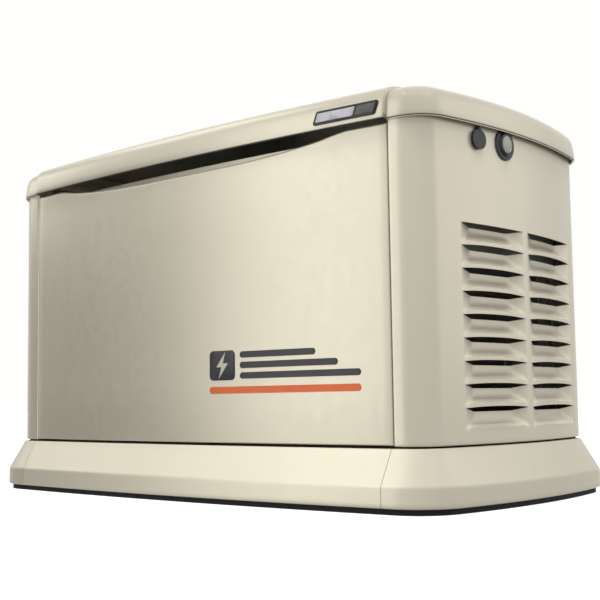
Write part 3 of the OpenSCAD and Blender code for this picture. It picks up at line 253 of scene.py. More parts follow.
BISQUE = (0.640, 0.603, 0.485)
paint = powder_coat("bisque_powder_coat", BISQUE)
fascia_mat = powder_coat("bisque_fascia", tint(BISQUE, 1.05), 0.4, 0.15, 0.38)
# The base pad's own colour is darkened to near black: painted shade for the dark line beneath the skirt
base_pad_and_shade_mat = moulded("composite_and_painted_shade", (0.005, 0.005, 0.005), 0.8, 900, 0.3)
trim = moulded("black_trim", (0.020, 0.019, 0.021), 0.36, 1500, 0.1)
zinc = sheet_steel("zinc_plate", (0.62, 0.63, 0.64))
galvanised = sheet_steel("galvanised_sheet", (0.55, 0.57, 0.58), 0.44)
black_paint = powder_coat("black_paint", (0.018, 0.018, 0.020), 0.34, 0.4, 0.0)
grey_paint = powder_coat("grey_paint", (0.30, 0.31, 0.32), 0.4, 0.3, 0.1)
alloy = cast_metal("cast_alloy", (0.56, 0.57, 0.58))
iron = cast_metal("cast_iron", (0.16, 0.16, 0.17), 0.48)
ground = turned_steel("ground_steel", (0.62, 0.62, 0.62))
rubber = soft_rubber("black_rubber", (0.018, 0.018, 0.018))
red_rubber = soft_rubber("red_cable", (0.42, 0.018, 0.014), 0.42)
winding = varnished("copper_winding", (0.22, 0.075, 0.03), (0.62, 0.28, 0.12), 95, "Y")
laminations = varnished("laminations", (0.10, 0.105, 0.11), (0.30, 0.31, 0.33), 160, "X")
exhaust = hot_steel("heat_tinted_steel")
duct = moulded("duct_plastic", (0.022, 0.022, 0.024), 0.5, 1100, 0.25)
filter_paint = gloss("filter_paint", (0.72, 0.48, 0.03), 0.22)
cap_plastic = gloss("cap_plastic", (0.80, 0.52, 0.02), 0.3, 0.2)
battery_case = moulded("battery_case", (0.016, 0.016, 0.018), 0.3, 800, 0.12)
console = moulded("console", (0.045, 0.046, 0.050), 0.42, 1400, 0.2)
blue = gloss("blue_button", (0.02, 0.12, 0.55), 0.2)
red = gloss("red_button", (0.55, 0.015, 0.01), 0.2)
green = gloss("green_button", (0.02, 0.28, 0.07), 0.2)
lens = glass("lens_glass", (0.50, 0.53, 0.46), 0.08)

# The CAD nodes that are shown as they are, by finish
FINISH = {
    base_pad_and_shade_mat: ("base_pad",),
    zinc: ("case_screws", "hinge_leaves_body", "hinge_leaves_lid", "lock_barrel_right", "lock_barrel_left"),
    trim: ("lock_sleeves", "dust_cover_right", "dust_cover_left", "status_bezel", "breaker_lever"),
    ground: ("hinge_pins", "crankshaft", "fuel_inlet"),
    galvanised: ("exhaust_partition",),
    black_paint: ("mounting_frame", "blower_housing", "starter_motor", "battery_tray"),
    rubber: ("rubber_mounts", "fuel_hose", "battery_cable_black"),
    red_rubber: ("battery_cable_red",),
    alloy: ("crankcase", "head_front", "head_rear", "rocker_cover_front", "rocker_cover_rear", "bearing_carrier",
            "intake_mixer", "fuel_regulator"),
    iron: ("flywheel",),
    winding: ("alternator_rotor",),
    laminations: ("alternator_stator",),
    duct: ("air_cleaner_box", "air_cleaner_cover"),
    filter_paint: ("oil_filter",),
    cap_plastic: ("oil_cap",),
    exhaust: ("exhaust_pipes", "muffler"),
    battery_case: ("battery",),
    grey_paint: ("control_box",),
    console: ("controller", "breaker"),
    blue: ("auto_button",),
    red: ("off_button",),
    green: ("manual_button",),
    lens: ("status_lens",),
}
SHARP_CAD = math.radians(28)
for material, names in FINISH.items():
    for name in names:
        nodes[name].data.materials.clear()
        nodes[name].data.materials.append(material)
        nodes[name].data.shade_smooth()
        nodes[name].data.set_sharp_from_angle(angle=SHARP_CAD)


# ---- plan outline: two bowed sides, two bowed ends and tangent corners, in millimetres ----
BODY_L, BODY_D, FRONT_BOW, END_BOW, CORNER_R = 1190, 618, 31, 43, 60
SEAM_L, SEAM_R, SEAM_HALF = -486, 500, 0.9
DECK, SIDE_TOP, FRONT_TOP = 109, 676, 661


def bow_radius(half, sag):
    """The radius of an arc that bows by sag over a chord of two halves."""
    return (half * half + sag * sag) / (2 * sag)


def outline_arcs(g_side=0.0, g_end=0.0):
    """The side, corner and end arcs of a quarter: (centre, radius, first angle, last angle) each."""
    a, b = BODY_L / 2 + g_end, BODY_D / 2 + g_side
    r = max(6.0, CORNER_R + (g_side + g_end) / 2)
    rs, re = bow_radius(a, FRONT_BOW), bow_radius(b, END_BOW)
    sc, ec = Vector((0, rs - b)), Vector((a - re, 0))
    d, d0, d1 = (ec - sc).length, rs - r, re - r
    along, u = (d0 * d0 - d1 * d1 + d * d) / (2 * d), (ec - sc) / d
    cc = sc + along * u + math.sqrt(d0 * d0 - along * along) * Vector((-u.y, u.x))
    a0, a1 = math.atan2(cc.y - sc.y, cc.x - sc.x), math.atan2(cc.y - ec.y, cc.x - ec.x)
    return (sc, rs, -math.pi / 2, a0), (cc, r, a0, a1), (ec, re, a1, 0.0)


def ring(g_side, g_end, steps=(44, 16, 22)):
    """The closed outline grown by g_side and g_end, counter-clockwise from the middle of the front."""
    q = []
    for (c, r, a0, a1), n in zip(outline_arcs(g_side, g_end), steps):
        turns = [a0 + (a1 - a0) * i / n for i in range(n)]
        q += [(c.x + r * math.cos(a), c.y + r * math.sin(a)) for a in turns]
    q.append((BODY_L / 2 + g_end, 0.0))
    half = q + [(x, -y) for x, y in q[-2::-1]]
    return half + [(-x, y) for x, y in half[-2:0:-1]]


SIDE_ARC, CORNER_ARC, END_ARC = outline_arcs()


def at(phi, g=0.0):
    """The point of the body's outline with outward normal at angle phi, moved out by g. -90 degrees is the front."""
    phi = (phi + math.pi) % (2 * math.pi) - math.pi
    q = -abs(phi)
    mirror_x = q < -math.pi / 2
    if mirror_x:
        q = -math.pi - q
    arc = SIDE_ARC if q <= SIDE_ARC[3] else CORNER_ARC if q < CORNER_ARC[3] else END_ARC
    x, y = arc[0].x + (arc[1] + g) * math.cos(q), arc[0].y + (arc[1] + g) * math.sin(q)
    return (-x if mirror_x else x), (-y if phi > 0 else y)


def front_angle(x, g=0.0):
    """The outline's angle where the front, moved out by g, has the coordinate x."""
    return -math.pi / 2 + math.asin(x / (SIDE_ARC[1] + g))


def end_angle(y):
    return math.asin(y / END_ARC[1])


def front_line(x):
    """A sheet column's angle as a function of its growth, so that the column stays at x on the front."""
    return lambda g: front_angle(x, g)


def rear_line(x):
    """The same on the rear."""
    return lambda g: math.pi / 2 - math.asin(x / (SIDE_ARC[1] + g))


def steady(angle):
    return lambda g: angle


# ---- building pieces ----
def finish_mesh(bm, name, body, material, stands_for=(), sharp=32, mirror=False):
    """Turns a bmesh into a piece that rides on a body and stands for CAD nodes. sharp is in degrees."""
    if mirror:
        bmesh.ops.scale(bm, vec=(-1, 1, 1), verts=bm.verts)
        bmesh.ops.reverse_faces(bm, faces=bm.faces)
    mesh = bpy.data.meshes.new(name)
    bm.to_mesh(mesh)
    bm.free()
    mesh.materials.append(material)
    mesh.shade_smooth()
    mesh.set_sharp_from_angle(angle=math.radians(sharp))
    piece = bpy.data.objects.new(name, mesh)
    bpy.context.scene.collection.objects.link(piece)
    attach(piece, body)
    if stands_for:
        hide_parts(*stands_for)
    return piece


def grid(rows, closed=False, skip=None):
    """A bmesh from rows of points in millimetres, each row as long as the last. Coincident points are welded."""
    bm = bmesh.new()
    vs = [[bm.verts.new(Vector(p) * MM) for p in row] for row in rows]
    n = len(rows[0])
    for j in range(len(rows) - 1):
        for i in range(n if closed else n - 1):
            k = (i + 1) % n
            if not (skip and skip(i, j)):
                bm.faces.new((vs[j][i], vs[j][k], vs[j + 1][k], vs[j + 1][i]))
    bmesh.ops.remove_doubles(bm, verts=bm.verts, dist=4e-6)
    return bm


def thicken(bm, t):
    """Gives a sheet its thickness, inward from the side its normals point to."""
    bm.normal_update()
    rim = [e for e in bm.edges if e.is_boundary]
    top = list(bm.faces)
    twin = {v: bm.verts.new(v.co - v.normal * t * MM) for v in list(bm.verts)}
    for f in top:
        bm.faces.new([twin[v] for v in reversed(f.verts)])
    for e in rim:
        f = e.link_faces[0]
        a, b = e.verts
        i = list(f.verts).index(a)
        if f.verts[(i + 1) % len(f.verts)] is b:
            a, b = b, a
        bm.faces.new((a, b, twin[b], twin[a]))
    bm.normal_update()
    return bm


def cut(bm, co, no):
    """Removes what lies on the side that the normal no points to."""
    geom = list(bm.verts) + list(bm.edges) + list(bm.faces)
    bmesh.ops.bisect_plane(bm, geom=geom, dist=1e-7, plane_co=Vector(co) * MM, plane_no=no, clear_outer=True)


def spread(a, b, n, ends=True):
    """n equal steps from a to b, with or without the last point."""
    return [a + (b - a) * i / n for i in range(n + 1 if ends else n)]


def bend(r, n=4):
    """A quarter bend: pairs (distance before the corner, distance inward), from the face to the return."""
    return [(r * (1 - math.sin(a)), r * (1 - math.cos(a))) for a in (math.pi / 2 * i / n for i in range(n + 1))]


# ---- louvres ----
ROWS, PITCH, LOUVRE_TOP, ROWS_ABOVE = 9, 40, 491, 8
DEPTH, CHEEK, MOUTH, SCOOP_H = 15.0, 38.0, 6.0, 33.5
TOP_ARCH, FOOT_ARCH, SWELL, ARCH_POWER = 3.2, 3.0, 0.5, 2.6  # how far a louvre's top and foot edges bow
# A louvre's section, as shares (way down from lip to foot, depth), and the steps across its cheek
SCOOP = ((0.0, 1.0), (0.14, 0.985), (0.3, 0.93), (0.46, 0.83), (0.62, 0.66), (0.76, 0.43), (0.88, 0.2), (0.96, 0.06),
         (1.0, 0.0))
CHEEK_STEPS = (0, 2, 6, 12, 18, 24, 30, 34.5, CHEEK, 41)
END_SPANS = ((-187, 0), (16, 212))
REAR_SPANS = ((-320, -130), (-111, 79))
SHEET_BEND, SIDE_RETURN, BOTTOM_RETURN = 2.5, 17, 20


def soft_min(a, b, k=1.6):
    """The lesser of a and b, blended where they are within k of each other."""
    h = max(k - abs(a - b), 0) / k
    return max(0.0, min(a, b) - h * h * k / 4)


def louvre_point(kind, i, t, v, span):
    """(height, depth) of a louvre's row at coordinate v: span is the louvre's two ends, or None beside it."""
    top = LOUVRE_TOP - PITCH * i
    if span is None:
        return top - (0 if kind in ("top", "lip") else SCOOP_H * t), 0.0
    lo, hi = span
    crown = 1 - abs((2 * v - lo - hi) / (hi - lo)) ** ARCH_POWER
    share = max(0.0, min(1.0, (hi - v) / CHEEK, (v - lo) / CHEEK))
    if kind == "top":
        return top + (TOP_ARCH * crown if i else 0), -SWELL * crown
    lip = top - MOUTH * share
    foot = top - SCOOP_H + (FOOT_ARCH * crown if i < ROWS - 1 else 0)
    depth = soft_min(DEPTH * dict(SCOOP)[t], DEPTH * share)
    return lip + (foot - lip) * t, depth - (SWELL * crown if t == 1.0 else 0)


def louvre_row_list():
    """The louvres' rows from the lowest up: (kind, louvre, share of the way down from the lip)."""
    rows = []
    for i in reversed(range(ROWS)):
        rows += [("foot", i, 1.0)] + [("in", i, t) for t, _ in reversed(SCOOP[1:-1])]
        rows += [("lip", i, 0.0), ("top", i, 0.0)]
    return rows


def louvre_columns(spans, lo, hi, step):
    """Coordinates from lo to hi with the louvres' creases in them: pairs (coordinate, span or None)."""
    out, last = [(lo, None)], lo
    for a, b in spans:
        out += [(v, None) for v in spread(last, a, max(2, round((a - last) / step)))[1:-1]]
        first, final = a + CHEEK_STEPS[-1], b - CHEEK_STEPS[-1]
        inner = [a + c for c in CHEEK_STEPS] + spread(first, final, max(2, round((final - first) / step)))[1:-1]
        out += [(v, (a, b)) for v in inner + [b - c for c in reversed(CHEEK_STEPS)]]
        last = b
    return out + [(v, None) for v in spread(last, hi, max(2, round((hi - last) / step)))[1:]]


def flat_row(z, inward=0):
    """A sheet row at one height and one distance inward, whatever its coordinate and span."""
    return lambda v, s: (z, inward)


def louvred_rows():
    """Rows of an upright louvred sheet, from its bottom return to its top edge: functions of (coordinate, span)."""
    z_low, foot = DECK + 0.2, LOUVRE_TOP - PITCH * (ROWS - 1) - SCOOP_H
    rows = [flat_row(z_low, g) for g in (BOTTOM_RETURN, BOTTOM_RETURN / 2)]
    rows += [flat_row(z_low + d, g) for d, g in reversed(bend(SHEET_BEND))]
    rows += [flat_row(z) for z in spread(z_low + SHEET_BEND, foot, 4)[1:-1]]
    rows += [lambda v, s, r=r: louvre_point(*r, v, s) for r in louvre_row_list()]
    return rows + [flat_row(z) for z in spread(LOUVRE_TOP, SIDE_TOP, ROWS_ABOVE)[1:]]


def build_sheet(columns, rows, slot_rows, t=2.0, holes=()):
    """A thickened sheet from columns (angle function, least inward distance, coordinate, span) and row functions.
    Slot rows are open inside a span. Holes are triples (coordinate, height, radius), each to be covered by a ring."""
    points = []
    for row in rows:
        line = []
        for angle, g_col, v, span in columns:
            z, depth = row(v, span)
            g = -max(depth, g_col) if (depth >= 0 or g_col > 0) else -depth
            line.append((*at(angle(g), g), z))
        points.append(line)

    def skip(i, j):
        (v, a), (w, b) = columns[i][2:], columns[i + 1][2:]
        if j in slot_rows and a is not None and a == b:
            return True
        z = (rows[j](v, None)[0] + rows[j + 1](v, None)[0]) / 2
        return v != w and any(math.hypot((v + w) / 2 - p, z - q) < r for p, q, r in holes)

    return thicken(grid(points, skip=skip), t)


def slot_row_numbers(rows):
    """Index of each louvre's open row, the one between its lip and its top, in a louvred sheet's rows."""
    per = len(SCOOP) + 1
    first = len(rows) - ROWS_ABOVE - ROWS * per
    return {first + k * per + per - 2 for k in range(ROWS)}


def end_panel(name, seam, node, mirror):
    """An end sheet wrapped round both corners, from its folded front edge to a rear edge under the rear sheet."""
    x_in = seam + SEAM_HALF
    cols = [(front_line(x), 24.0, x, None) for x in (x_in - SIDE_RETURN, x_in - 9, x_in)]
    cols += [(front_line(x_in), g, x_in, None) for g in (16.0, 8.0)]
    cols += [(front_line(x_in + d), g, x_in, None) for d, g in reversed(bend(2.0, 4))]
    corner = spread(SIDE_ARC[3], CORNER_ARC[3], 26, False)
    cols += [(steady(a), 0.0, 0.0, None) for a in spread(front_angle(x_in + 2.0), SIDE_ARC[3], 3, False)[1:] + corner]
    y_end = END_ARC[1] * math.sin(END_ARC[2])
    cols += [(steady(end_angle(v)), 0.0, v, s) for v, s in louvre_columns(END_SPANS, y_end, -y_end, 11)]
    cols += [(steady(-a), 0.0, 0.0, None) for a in reversed(corner)]
    cols += [(rear_line(x), 0.0, x, None) for x in (x_in + 20, x_in + 6, x_in + 2)]
    cols += [(rear_line(x), 2.3, x, None) for x in (x_in - 4, x_in - SIDE_RETURN)]
    rows = louvred_rows()
    bm = build_sheet(cols, rows, slot_row_numbers(rows))
    return finish_mesh(bm, name, "enclosure", paint, (node,), mirror=mirror)


CONDUIT, INLET = (330.0, 190.0), (430.0, 182.0)
REAR_HOLES = (CONDUIT + (25.0,), INLET + (20.0,))
FINE_LO, FINE_HI = 294, 460  # the closely spaced columns round the two holes
end_right = end_panel("end_panel_right_sheet", SEAM_R, "end_panel_right", False)
end_left = end_panel("end_panel_left_sheet", -SEAM_L, "end_panel_left", True)


def rear_panel():
    xl, xr = SEAM_L + SEAM_HALF, SEAM_R - SEAM_HALF
    cols = [(rear_line(xr), g, xr, None) for g in (10.0, 5.0)]
    cols += [(rear_line(xr - d), g, xr, None) for d, g in reversed(bend(2.0, 3))]
    coarse = louvre_columns(REAR_SPANS, xl + 2.0, xr - 2.0, 14)
    inner = [c for c in coarse if not FINE_LO - 2 < c[0] < FINE_HI + 2]
    inner = sorted(inner + [(v, None) for v in spread(FINE_LO, FINE_HI, 34)], key=lambda c: c[0])
    cols += [(rear_line(v), 0.0, v, s) for v, s in reversed(inner)]
    cols += [(rear_line(xl + d), g, xl, None) for d, g in bend(2.0, 3)]
    cols += [(rear_line(xl), g, xl, None) for g in (5.0, 10.0)]
    rows = louvred_rows()
    bm = build_sheet(cols, rows, slot_row_numbers(rows), holes=REAR_HOLES)
    return finish_mesh(bm, "rear_panel_sheet", "enclosure", paint, ("rear_panel",))


rear = rear_panel()


def collar(name, centre, profile, material, n=48):
    """A ring about an axis along Y: profile pairs (radius, y) run once round its section."""
    turns = [math.tau * k / n for k in range(n)]
    rows = [[(centre[0] + r * math.cos(a), y, centre[1] - r * math.sin(a)) for a in turns]
            for r, y in profile + profile[:1]]
    bm = grid(rows, closed=True)
    bmesh.ops.recalc_face_normals(bm, faces=bm.faces)
    return finish_mesh(bm, name, "enclosure", material, ())


collar("conduit_boss", CONDUIT,
       [(22.0, 294.2), (30.0, 294.2), (30.0, 301.2), (29.2, 302.0), (22.8, 302.0), (22.0, 301.2)],
       paint)
collar("inlet_grommet", INLET,
       [(17.2, 288.0), (23.0, 288.0), (23.0, 290.5), (20.2, 291.2), (20.2, 292.6), (23.6, 293.2),
        (23.6, 295.6), (22.4, 296.6), (18.0, 296.6), (17.2, 295.8)],
       rubber)

# ---- front panel with its scooped grip ----
GRIP_DROP, GRIP_HALF, GRIP_MID = 25.0, 410.0, 7.0
GRIP_EVEN = 330.0  # half width of the grip's evenly spaced columns
HEM, GRIP_BACK, GRIP_WALL_TOP = 5.0, 21.5, 650.5


def scoop_edge(x):
    """The height of the front panel's hemmed top edge, which dips along the grip."""
    u = min(1.0, abs(x - GRIP_MID) / GRIP_HALF)
    ease = 1 - u ** 3
    return FRONT_TOP - GRIP_DROP * (ease if u < 0.86 else ease * ((1 - u) / 0.14) ** 0.35)


def front_panel():
    xl, xr = SEAM_L + SEAM_HALF, SEAM_R - SEAM_HALF
    z0 = DECK + 1.7
    stops = ((xl + SHEET_BEND, 5), (GRIP_MID - GRIP_HALF, 20), (GRIP_MID - GRIP_EVEN, 44), (GRIP_MID + GRIP_EVEN, 20),
             (GRIP_MID + GRIP_HALF, 5), (xr - SHEET_BEND, 0))
    inner = [x for (a, n), (b, _) in zip(stops, stops[1:]) for x in spread(a, b, n, False)]
    cols = [(front_line(xl), g, xl, None) for g in (16.0, 9.0)]
    cols += [(front_line(xl + d), g, xl, None) for d, g in reversed(bend(SHEET_BEND))]
    cols += [(front_line(x), 0.0, x, None) for x in inner[1:]]
    cols += [(front_line(xr - d), g, xr, None) for d, g in bend(SHEET_BEND)]
    cols += [(front_line(xr), g, xr, None) for g in (9.0, 16.0)]
    rows = [flat_row(z0, g) for g in (16.0, 8.0)]
    rows += [flat_row(z0 + d, g) for d, g in reversed(bend(SHEET_BEND))]
    rows += [lambda v, s, t=t: (z0 + SHEET_BEND + (scoop_edge(v) - HEM - z0 - SHEET_BEND) * t, 0.0)
             for t in (0.2, 0.4, 0.6, 0.8, 0.93, 0.98)]
    rows += [lambda v, s, d=d, g=g: (scoop_edge(v) - d, g) for d, g in bend(HEM, 6)]
    rows += [lambda v, s, g=g: (scoop_edge(v), g) for g in (10.0, 15.0, 19.0)]
    rows += [lambda v, s, k=k, g=g: (min(scoop_edge(v) + k, max(GRIP_WALL_TOP, scoop_edge(v))), g)
             for k, g in ((0.7, GRIP_BACK - 0.9), (2.2, GRIP_BACK))]
    rows += [lambda v, s, t=t: (scoop_edge(v) + max(0, GRIP_WALL_TOP - scoop_edge(v)) * t, GRIP_BACK)
             for t in (0.5, 1.0)]
    bm = build_sheet(cols, rows, set(), 1.8)
    return finish_mesh(bm, "front_panel_sheet", "front_panel", paint, ("front_panel",), sharp=40)


front = front_panel()

# ---- lid ----
LID_Z = 667.0
LID_OVER_FRONT, LID_OVER_END, LID_SETBACK, LID_CAP_DROP, LID_T = 11.0, 12.5, 8.0, 3.0, 2.5
LID_RETURN, LID_FLANGE, FLANGE_BEND, LIP_GAP = 8.0, 8.3, 2.0, 1.2
CROWN_Z = 700.0  # only the shell's last ring, which the crown's flat face closes, has open edges above this
LID_OVER_CAP = LID_OVER_FRONT - LID_SETBACK
# The band and the crown: pairs (height above the lip, distance inward)
SHOULDER = ((2.0, 0.0), (12, 0.6), (22, 1.7), (33, 3.2), (41, 5.4), (48, 9.0), (52.5, 13.6), (56, 19.0), (59, 25.6),
            (61.2, 33.0), (62.9, 41.0), (64.2, 50.0), (65.5, 68), (66.7, 95), (67.7, 130), (68.5, 175), (69.0, 230))


def lid_rings(over_side, over_end, drop):
    """Rings from the inner edge of the lip's return, round the lip, up the band and over the shoulder."""
    lip = min(LID_RETURN, over_side - LIP_GAP)
    steps = [(0.0, lip), (0.0, 2.0), (0.27, 1.0), (1.0, 0.27)]
    steps += [(h - drop * min(1.0, max(0.0, (h - 2) / 20)), s) for h, s in SHOULDER]
    return [[(x, y, LID_Z + h) for x, y in ring(over_side - s, over_end - s)] for h, s in steps]


def lid_section(name, over_side, drop, x_lo, x_hi, flange, node):
    """One section of the lid between x_lo and x_hi, with a folded flange of that depth at its cut edges."""
    rings = lid_rings(over_side, LID_OVER_END, drop)
    bm = grid(rings, closed=True)
    crown = [e for e in bm.edges if e.is_boundary and min(v.co.z for v in e.verts) > (CROWN_Z - drop) * MM]
    bmesh.ops.contextual_create(bm, geom=crown)
    bend_r = FLANGE_BEND if flange else 0.0
    for x, side in ((x_lo, -1), (x_hi, 1)):
        if x is None:
            continue
        cut(bm, (x - side * bend_r, 0, 0), (side, 0, 0))
        if not flange:
            continue
        bm.normal_update()
        normals = {v: v.normal.copy() for v in bm.verts}
        edge = [e for e in bm.edges if all(abs(v.co.x / MM - x + side * bend_r) < 1e-3 for v in e.verts)]
        out, inward = 0.0, 0.0
        # The cut edge is drawn on in steps, round the bend and then straight in, each along its own normal
        for d, g in bend(bend_r, 3)[1:] + [(0.0, flange)]:
            made = bmesh.ops.extrude_edge_only(bm, edges=edge)["geom"]
            vs = [v for v in made if isinstance(v, bmesh.types.BMVert)]
            edge = [e for e in made if isinstance(e, bmesh.types.BMEdge)]
            step_x, step_in = (bend_r - d) - out, g - inward
            for v in vs:
                near = min(normals, key=lambda w: (w.co - v.co).length_squared)
                n = normals[near].copy()
                n.x = 0
                n.normalize()
                v.co += Vector((side * step_x * MM, 0, 0)) - n * step_in * MM
                normals[v] = normals[near]
            out, inward = bend_r - d, g
        bmesh.ops.recalc_face_normals(bm, faces=bm.faces)
    thicken(bm, LID_T)
    return finish_mesh(bm, name, "lid", paint, (node,), sharp=38)


CUT_L, CUT_R = SEAM_L - 0.3, SEAM_R + 0.3  # where the end sections start, a hair outside the seams
lid_section("lid_roof_shell", LID_OVER_FRONT, 0.0, SEAM_L, SEAM_R, LID_FLANGE, "lid_roof")
lid_section("lid_end_right_shell", LID_OVER_CAP, LID_CAP_DROP, CUT_R, None, 0, "lid_end_right")
lid_section("lid_end_left_shell", LID_OVER_CAP, LID_CAP_DROP, None, CUT_L, 0, "lid_end_left")
# Painted shade: a black strip under the lid's lip stands in for the shadow there
SHADE_STRIP_INSET, SHADE_STRIP_REACH, SHADE_STRIP_T, SHADE_STRIP_REAR = 1.0, 7.0, 0.6, 250.0


def lid_shade_strip(name, over_side, x_lo, x_hi):
    """A dark rubber strip under the lip, along the front and the ends: painted shade, standing in for the shadow
    beneath the lid's lip. The rear is left clear for the hinges.
    """
    reach = min(SHADE_STRIP_REACH, over_side - LIP_GAP)
    bm = grid([[(x, y, LID_Z) for x, y in ring(over_side - a, LID_OVER_END - b)]
               for a, b in ((SHADE_STRIP_INSET, SHADE_STRIP_INSET), (reach, SHADE_STRIP_REACH))], closed=True)
    for x, side in ((x_lo, -1), (x_hi, 1)):
        if x is not None:
            cut(bm, (x, 0, 0), (side, 0, 0))
    cut(bm, (0, SHADE_STRIP_REAR, 0), (0, 1, 0))
    bm.normal_update()
    if sum(f.normal.z for f in bm.faces) < 0:
        bmesh.ops.reverse_faces(bm, faces=list(bm.faces))
    thicken(bm, SHADE_STRIP_T)
    return finish_mesh(bm, name, "lid", rubber, ())


lid_shade_strip("lid_shade_strip_roof", LID_OVER_FRONT, SEAM_L, SEAM_R)
lid_shade_strip("lid_shade_strip_right", LID_OVER_CAP, CUT_R, None)
lid_shade_strip("lid_shade_strip_left", LID_OVER_CAP, None, CUT_L)

# ---- fascia ----
FASCIA_TOP, FASCIA_OUT, FASCIA_LIP, FOOT_Z, FASCIA_T = 106.0, 35.0, 5.0, 10.2, 2.6


def fascia_profile():
    """Triples (height, growth at the sides, growth at the ends), from the return under the foot up over the lip."""
    out = [(FOOT_Z, -21.0), (FOOT_Z, -10.0), (FOOT_Z, -2.5), (FOOT_Z + 0.7, -0.8), (FOOT_Z + 2.5, 0.0)]
    out += [(z, 0.0) for z in (20, 30, 40, 43.5)]
    out += [(46.0, -0.35), (48.3, -1.3), (50.4, -2.5)]
    low, high = (50.4, -2.5), (102.0, FASCIA_LIP - FASCIA_OUT + 0.9)
    out += [tuple(a + (b - a) * k / 6 for a, b in zip(low, high)) for k in range(1, 7)]
    out += [(104.4, high[1] - 0.9), (105.5, high[1] - 1.7), (FASCIA_TOP, high[1] - 3.0), (FASCIA_TOP, high[1] - 8.0)]
    return [(z, FASCIA_OUT + 1 + e, FASCIA_OUT - 2 + e) for z, e in out]


def fascia_section(name, node, x_lo, x_hi, half):
    """A skirt section between x_lo and x_hi: half is 1 for the front, -1 for the rear and 0 for both."""
    rings = [[(x, y, z) for x, y in ring(side, end)] for z, side, end in fascia_profile()]
    bm = grid(rings, closed=True)
    if x_lo is not None:
        cut(bm, (x_lo, 0, 0), (-1, 0, 0))
    if x_hi is not None:
        cut(bm, (x_hi, 0, 0), (1, 0, 0))
    if half:
        cut(bm, (0, 0, 0), (0, half, 0))
    thicken(bm, FASCIA_T)
    return finish_mesh(bm, name, "enclosure", fascia_mat, (node,), sharp=38)


fascia_section("fascia_front_skirt", "fascia_front", SEAM_L + 0.7, SEAM_R - 0.7, 1)
fascia_section("fascia_rear_skirt", "fascia_rear", SEAM_L + 0.7, SEAM_R - 0.7, -1)
fascia_section("fascia_left_skirt", "fascia_left", None, CUT_L, 0)
fascia_section("fascia_right_skirt", "fascia_right", CUT_R, None, 0)


# ---- flat shapes laid on a surface: badge, decals ----
def rounded(points, r, n=5):
    """A polygon with its corners rounded."""
    out = []
    for i, p in enumerate(points):
        p = Vector(p)
        a, b = Vector(points[i - 1]), Vector(points[(i + 1) % len(points)])
        u, w = (a - p).normalized(), (b - p).normalized()
        half = math.acos(max(-1, min(1, u.dot(w)))) / 2
        d = r / math.tan(half)
        start, end, c = p + u * d, p + w * d, p + (u + w).normalized() * (r / math.sin(half))
        s, e = start - c, end - c
        for k in range(n + 1):
            out.append(tuple(c + s.slerp(e, k / n).normalized() * r))
    return out


def laid(name, outline, place, body, material, t, step=9.0, stands_for=(), base=0.0):
    """A thin shape: outline in its own plane, cut into strips, laid by place(u, v, height) and given thickness."""
    bm = bmesh.new()
    bm.faces.new([bm.verts.new((u, v, 0)) for u, v in outline])
    us = [p[0] for p in outline]
    lo, hi = min(us), max(us)
    for k in range(1, int((hi - lo) / step) + 1):
        geom = list(bm.verts) + list(bm.edges) + list(bm.faces)
        bmesh.ops.bisect_plane(bm, geom=geom, dist=1e-6, plane_co=(lo + k * step, 0, 0), plane_no=(1, 0, 0))
    bmesh.ops.triangulate(bm, faces=[f for f in bm.faces if len(f.verts) > 4])
    bmesh.ops.recalc_face_normals(bm, faces=bm.faces)
    top = list(bm.faces)
    rim = [e for e in bm.edges if e.is_boundary]
    soft = min(0.25 * t, 0.4)
    mid = (sum(us) / len(us), sum(p[1] for p in outline) / len(outline))
    plane = {v: (v.co.x, v.co.y) for v in bm.verts}

    def shrink(u, v, d):
        m = Vector((u - mid[0], v - mid[1]))
        return (u - m.x / max(m.length, 1e-6) * d, v - m.y / max(m.length, 1e-6) * d)

    low = {v: bm.verts.new(Vector(place(*plane[v], base)) * MM) for v in plane}
    edge = {v: bm.verts.new(Vector(place(*plane[v], base + t - soft)) * MM) for e in rim for v in e.verts}
    rim_verts = set(edge)
    for v, (pu, pv) in plane.items():
        v.co = Vector(place(*(shrink(pu, pv, soft) if v in rim_verts else (pu, pv)), base + t)) * MM
    for f in top:
        bm.faces.new([low[v] for v in reversed(f.verts)])
    for e in rim:
        f = e.link_faces[0]
        a, b = e.verts
        i = list(f.verts).index(a)
        if f.verts[(i + 1) % len(f.verts)] is b:
            a, b = b, a
        bm.faces.new((a, b, edge[b], edge[a]))
        bm.faces.new((edge[a], edge[b], low[b], low[a]))
    bmesh.ops.recalc_face_normals(bm, faces=bm.faces)
    return finish_mesh(bm, name, body, material, stands_for, sharp=50)


def on_front(u, v, h):
    """A place on the front panel's face: u along the front, v up, h outward."""
    return (*at(front_angle(u, h), h), v)


BADGE_X, BADGE_W, BADGE_H, BADGE_SKEW, BADGE_TILT = 423.0, 131.0, 25.0, 7.0, 6.5
BADGE_Y = -BODY_D / 2 - LID_OVER_FRONT + FRONT_BOW * (BADGE_X / (BODY_L / 2)) ** 2 + 1.5
badge_frame = (Matrix.Translation((BADGE_X, BADGE_Y, LID_Z + 20))
               @ Matrix.Rotation(math.asin(BADGE_X / SIDE_ARC[1]), 4, "Z")
               @ Matrix.Rotation(math.radians(90 - BADGE_TILT), 4, "X"))


def on_badge(u, v, h):
    """A place on the badge's plane: its ends lean by BADGE_SKEW over its height."""
    return tuple(badge_frame @ Vector((u + v * BADGE_SKEW / BADGE_H, v, h)))


def slab_outline(u0, v0, u1, v1, r):
    return rounded([(u0, v0), (u1, v0), (u1, v1), (u0, v1)], r)


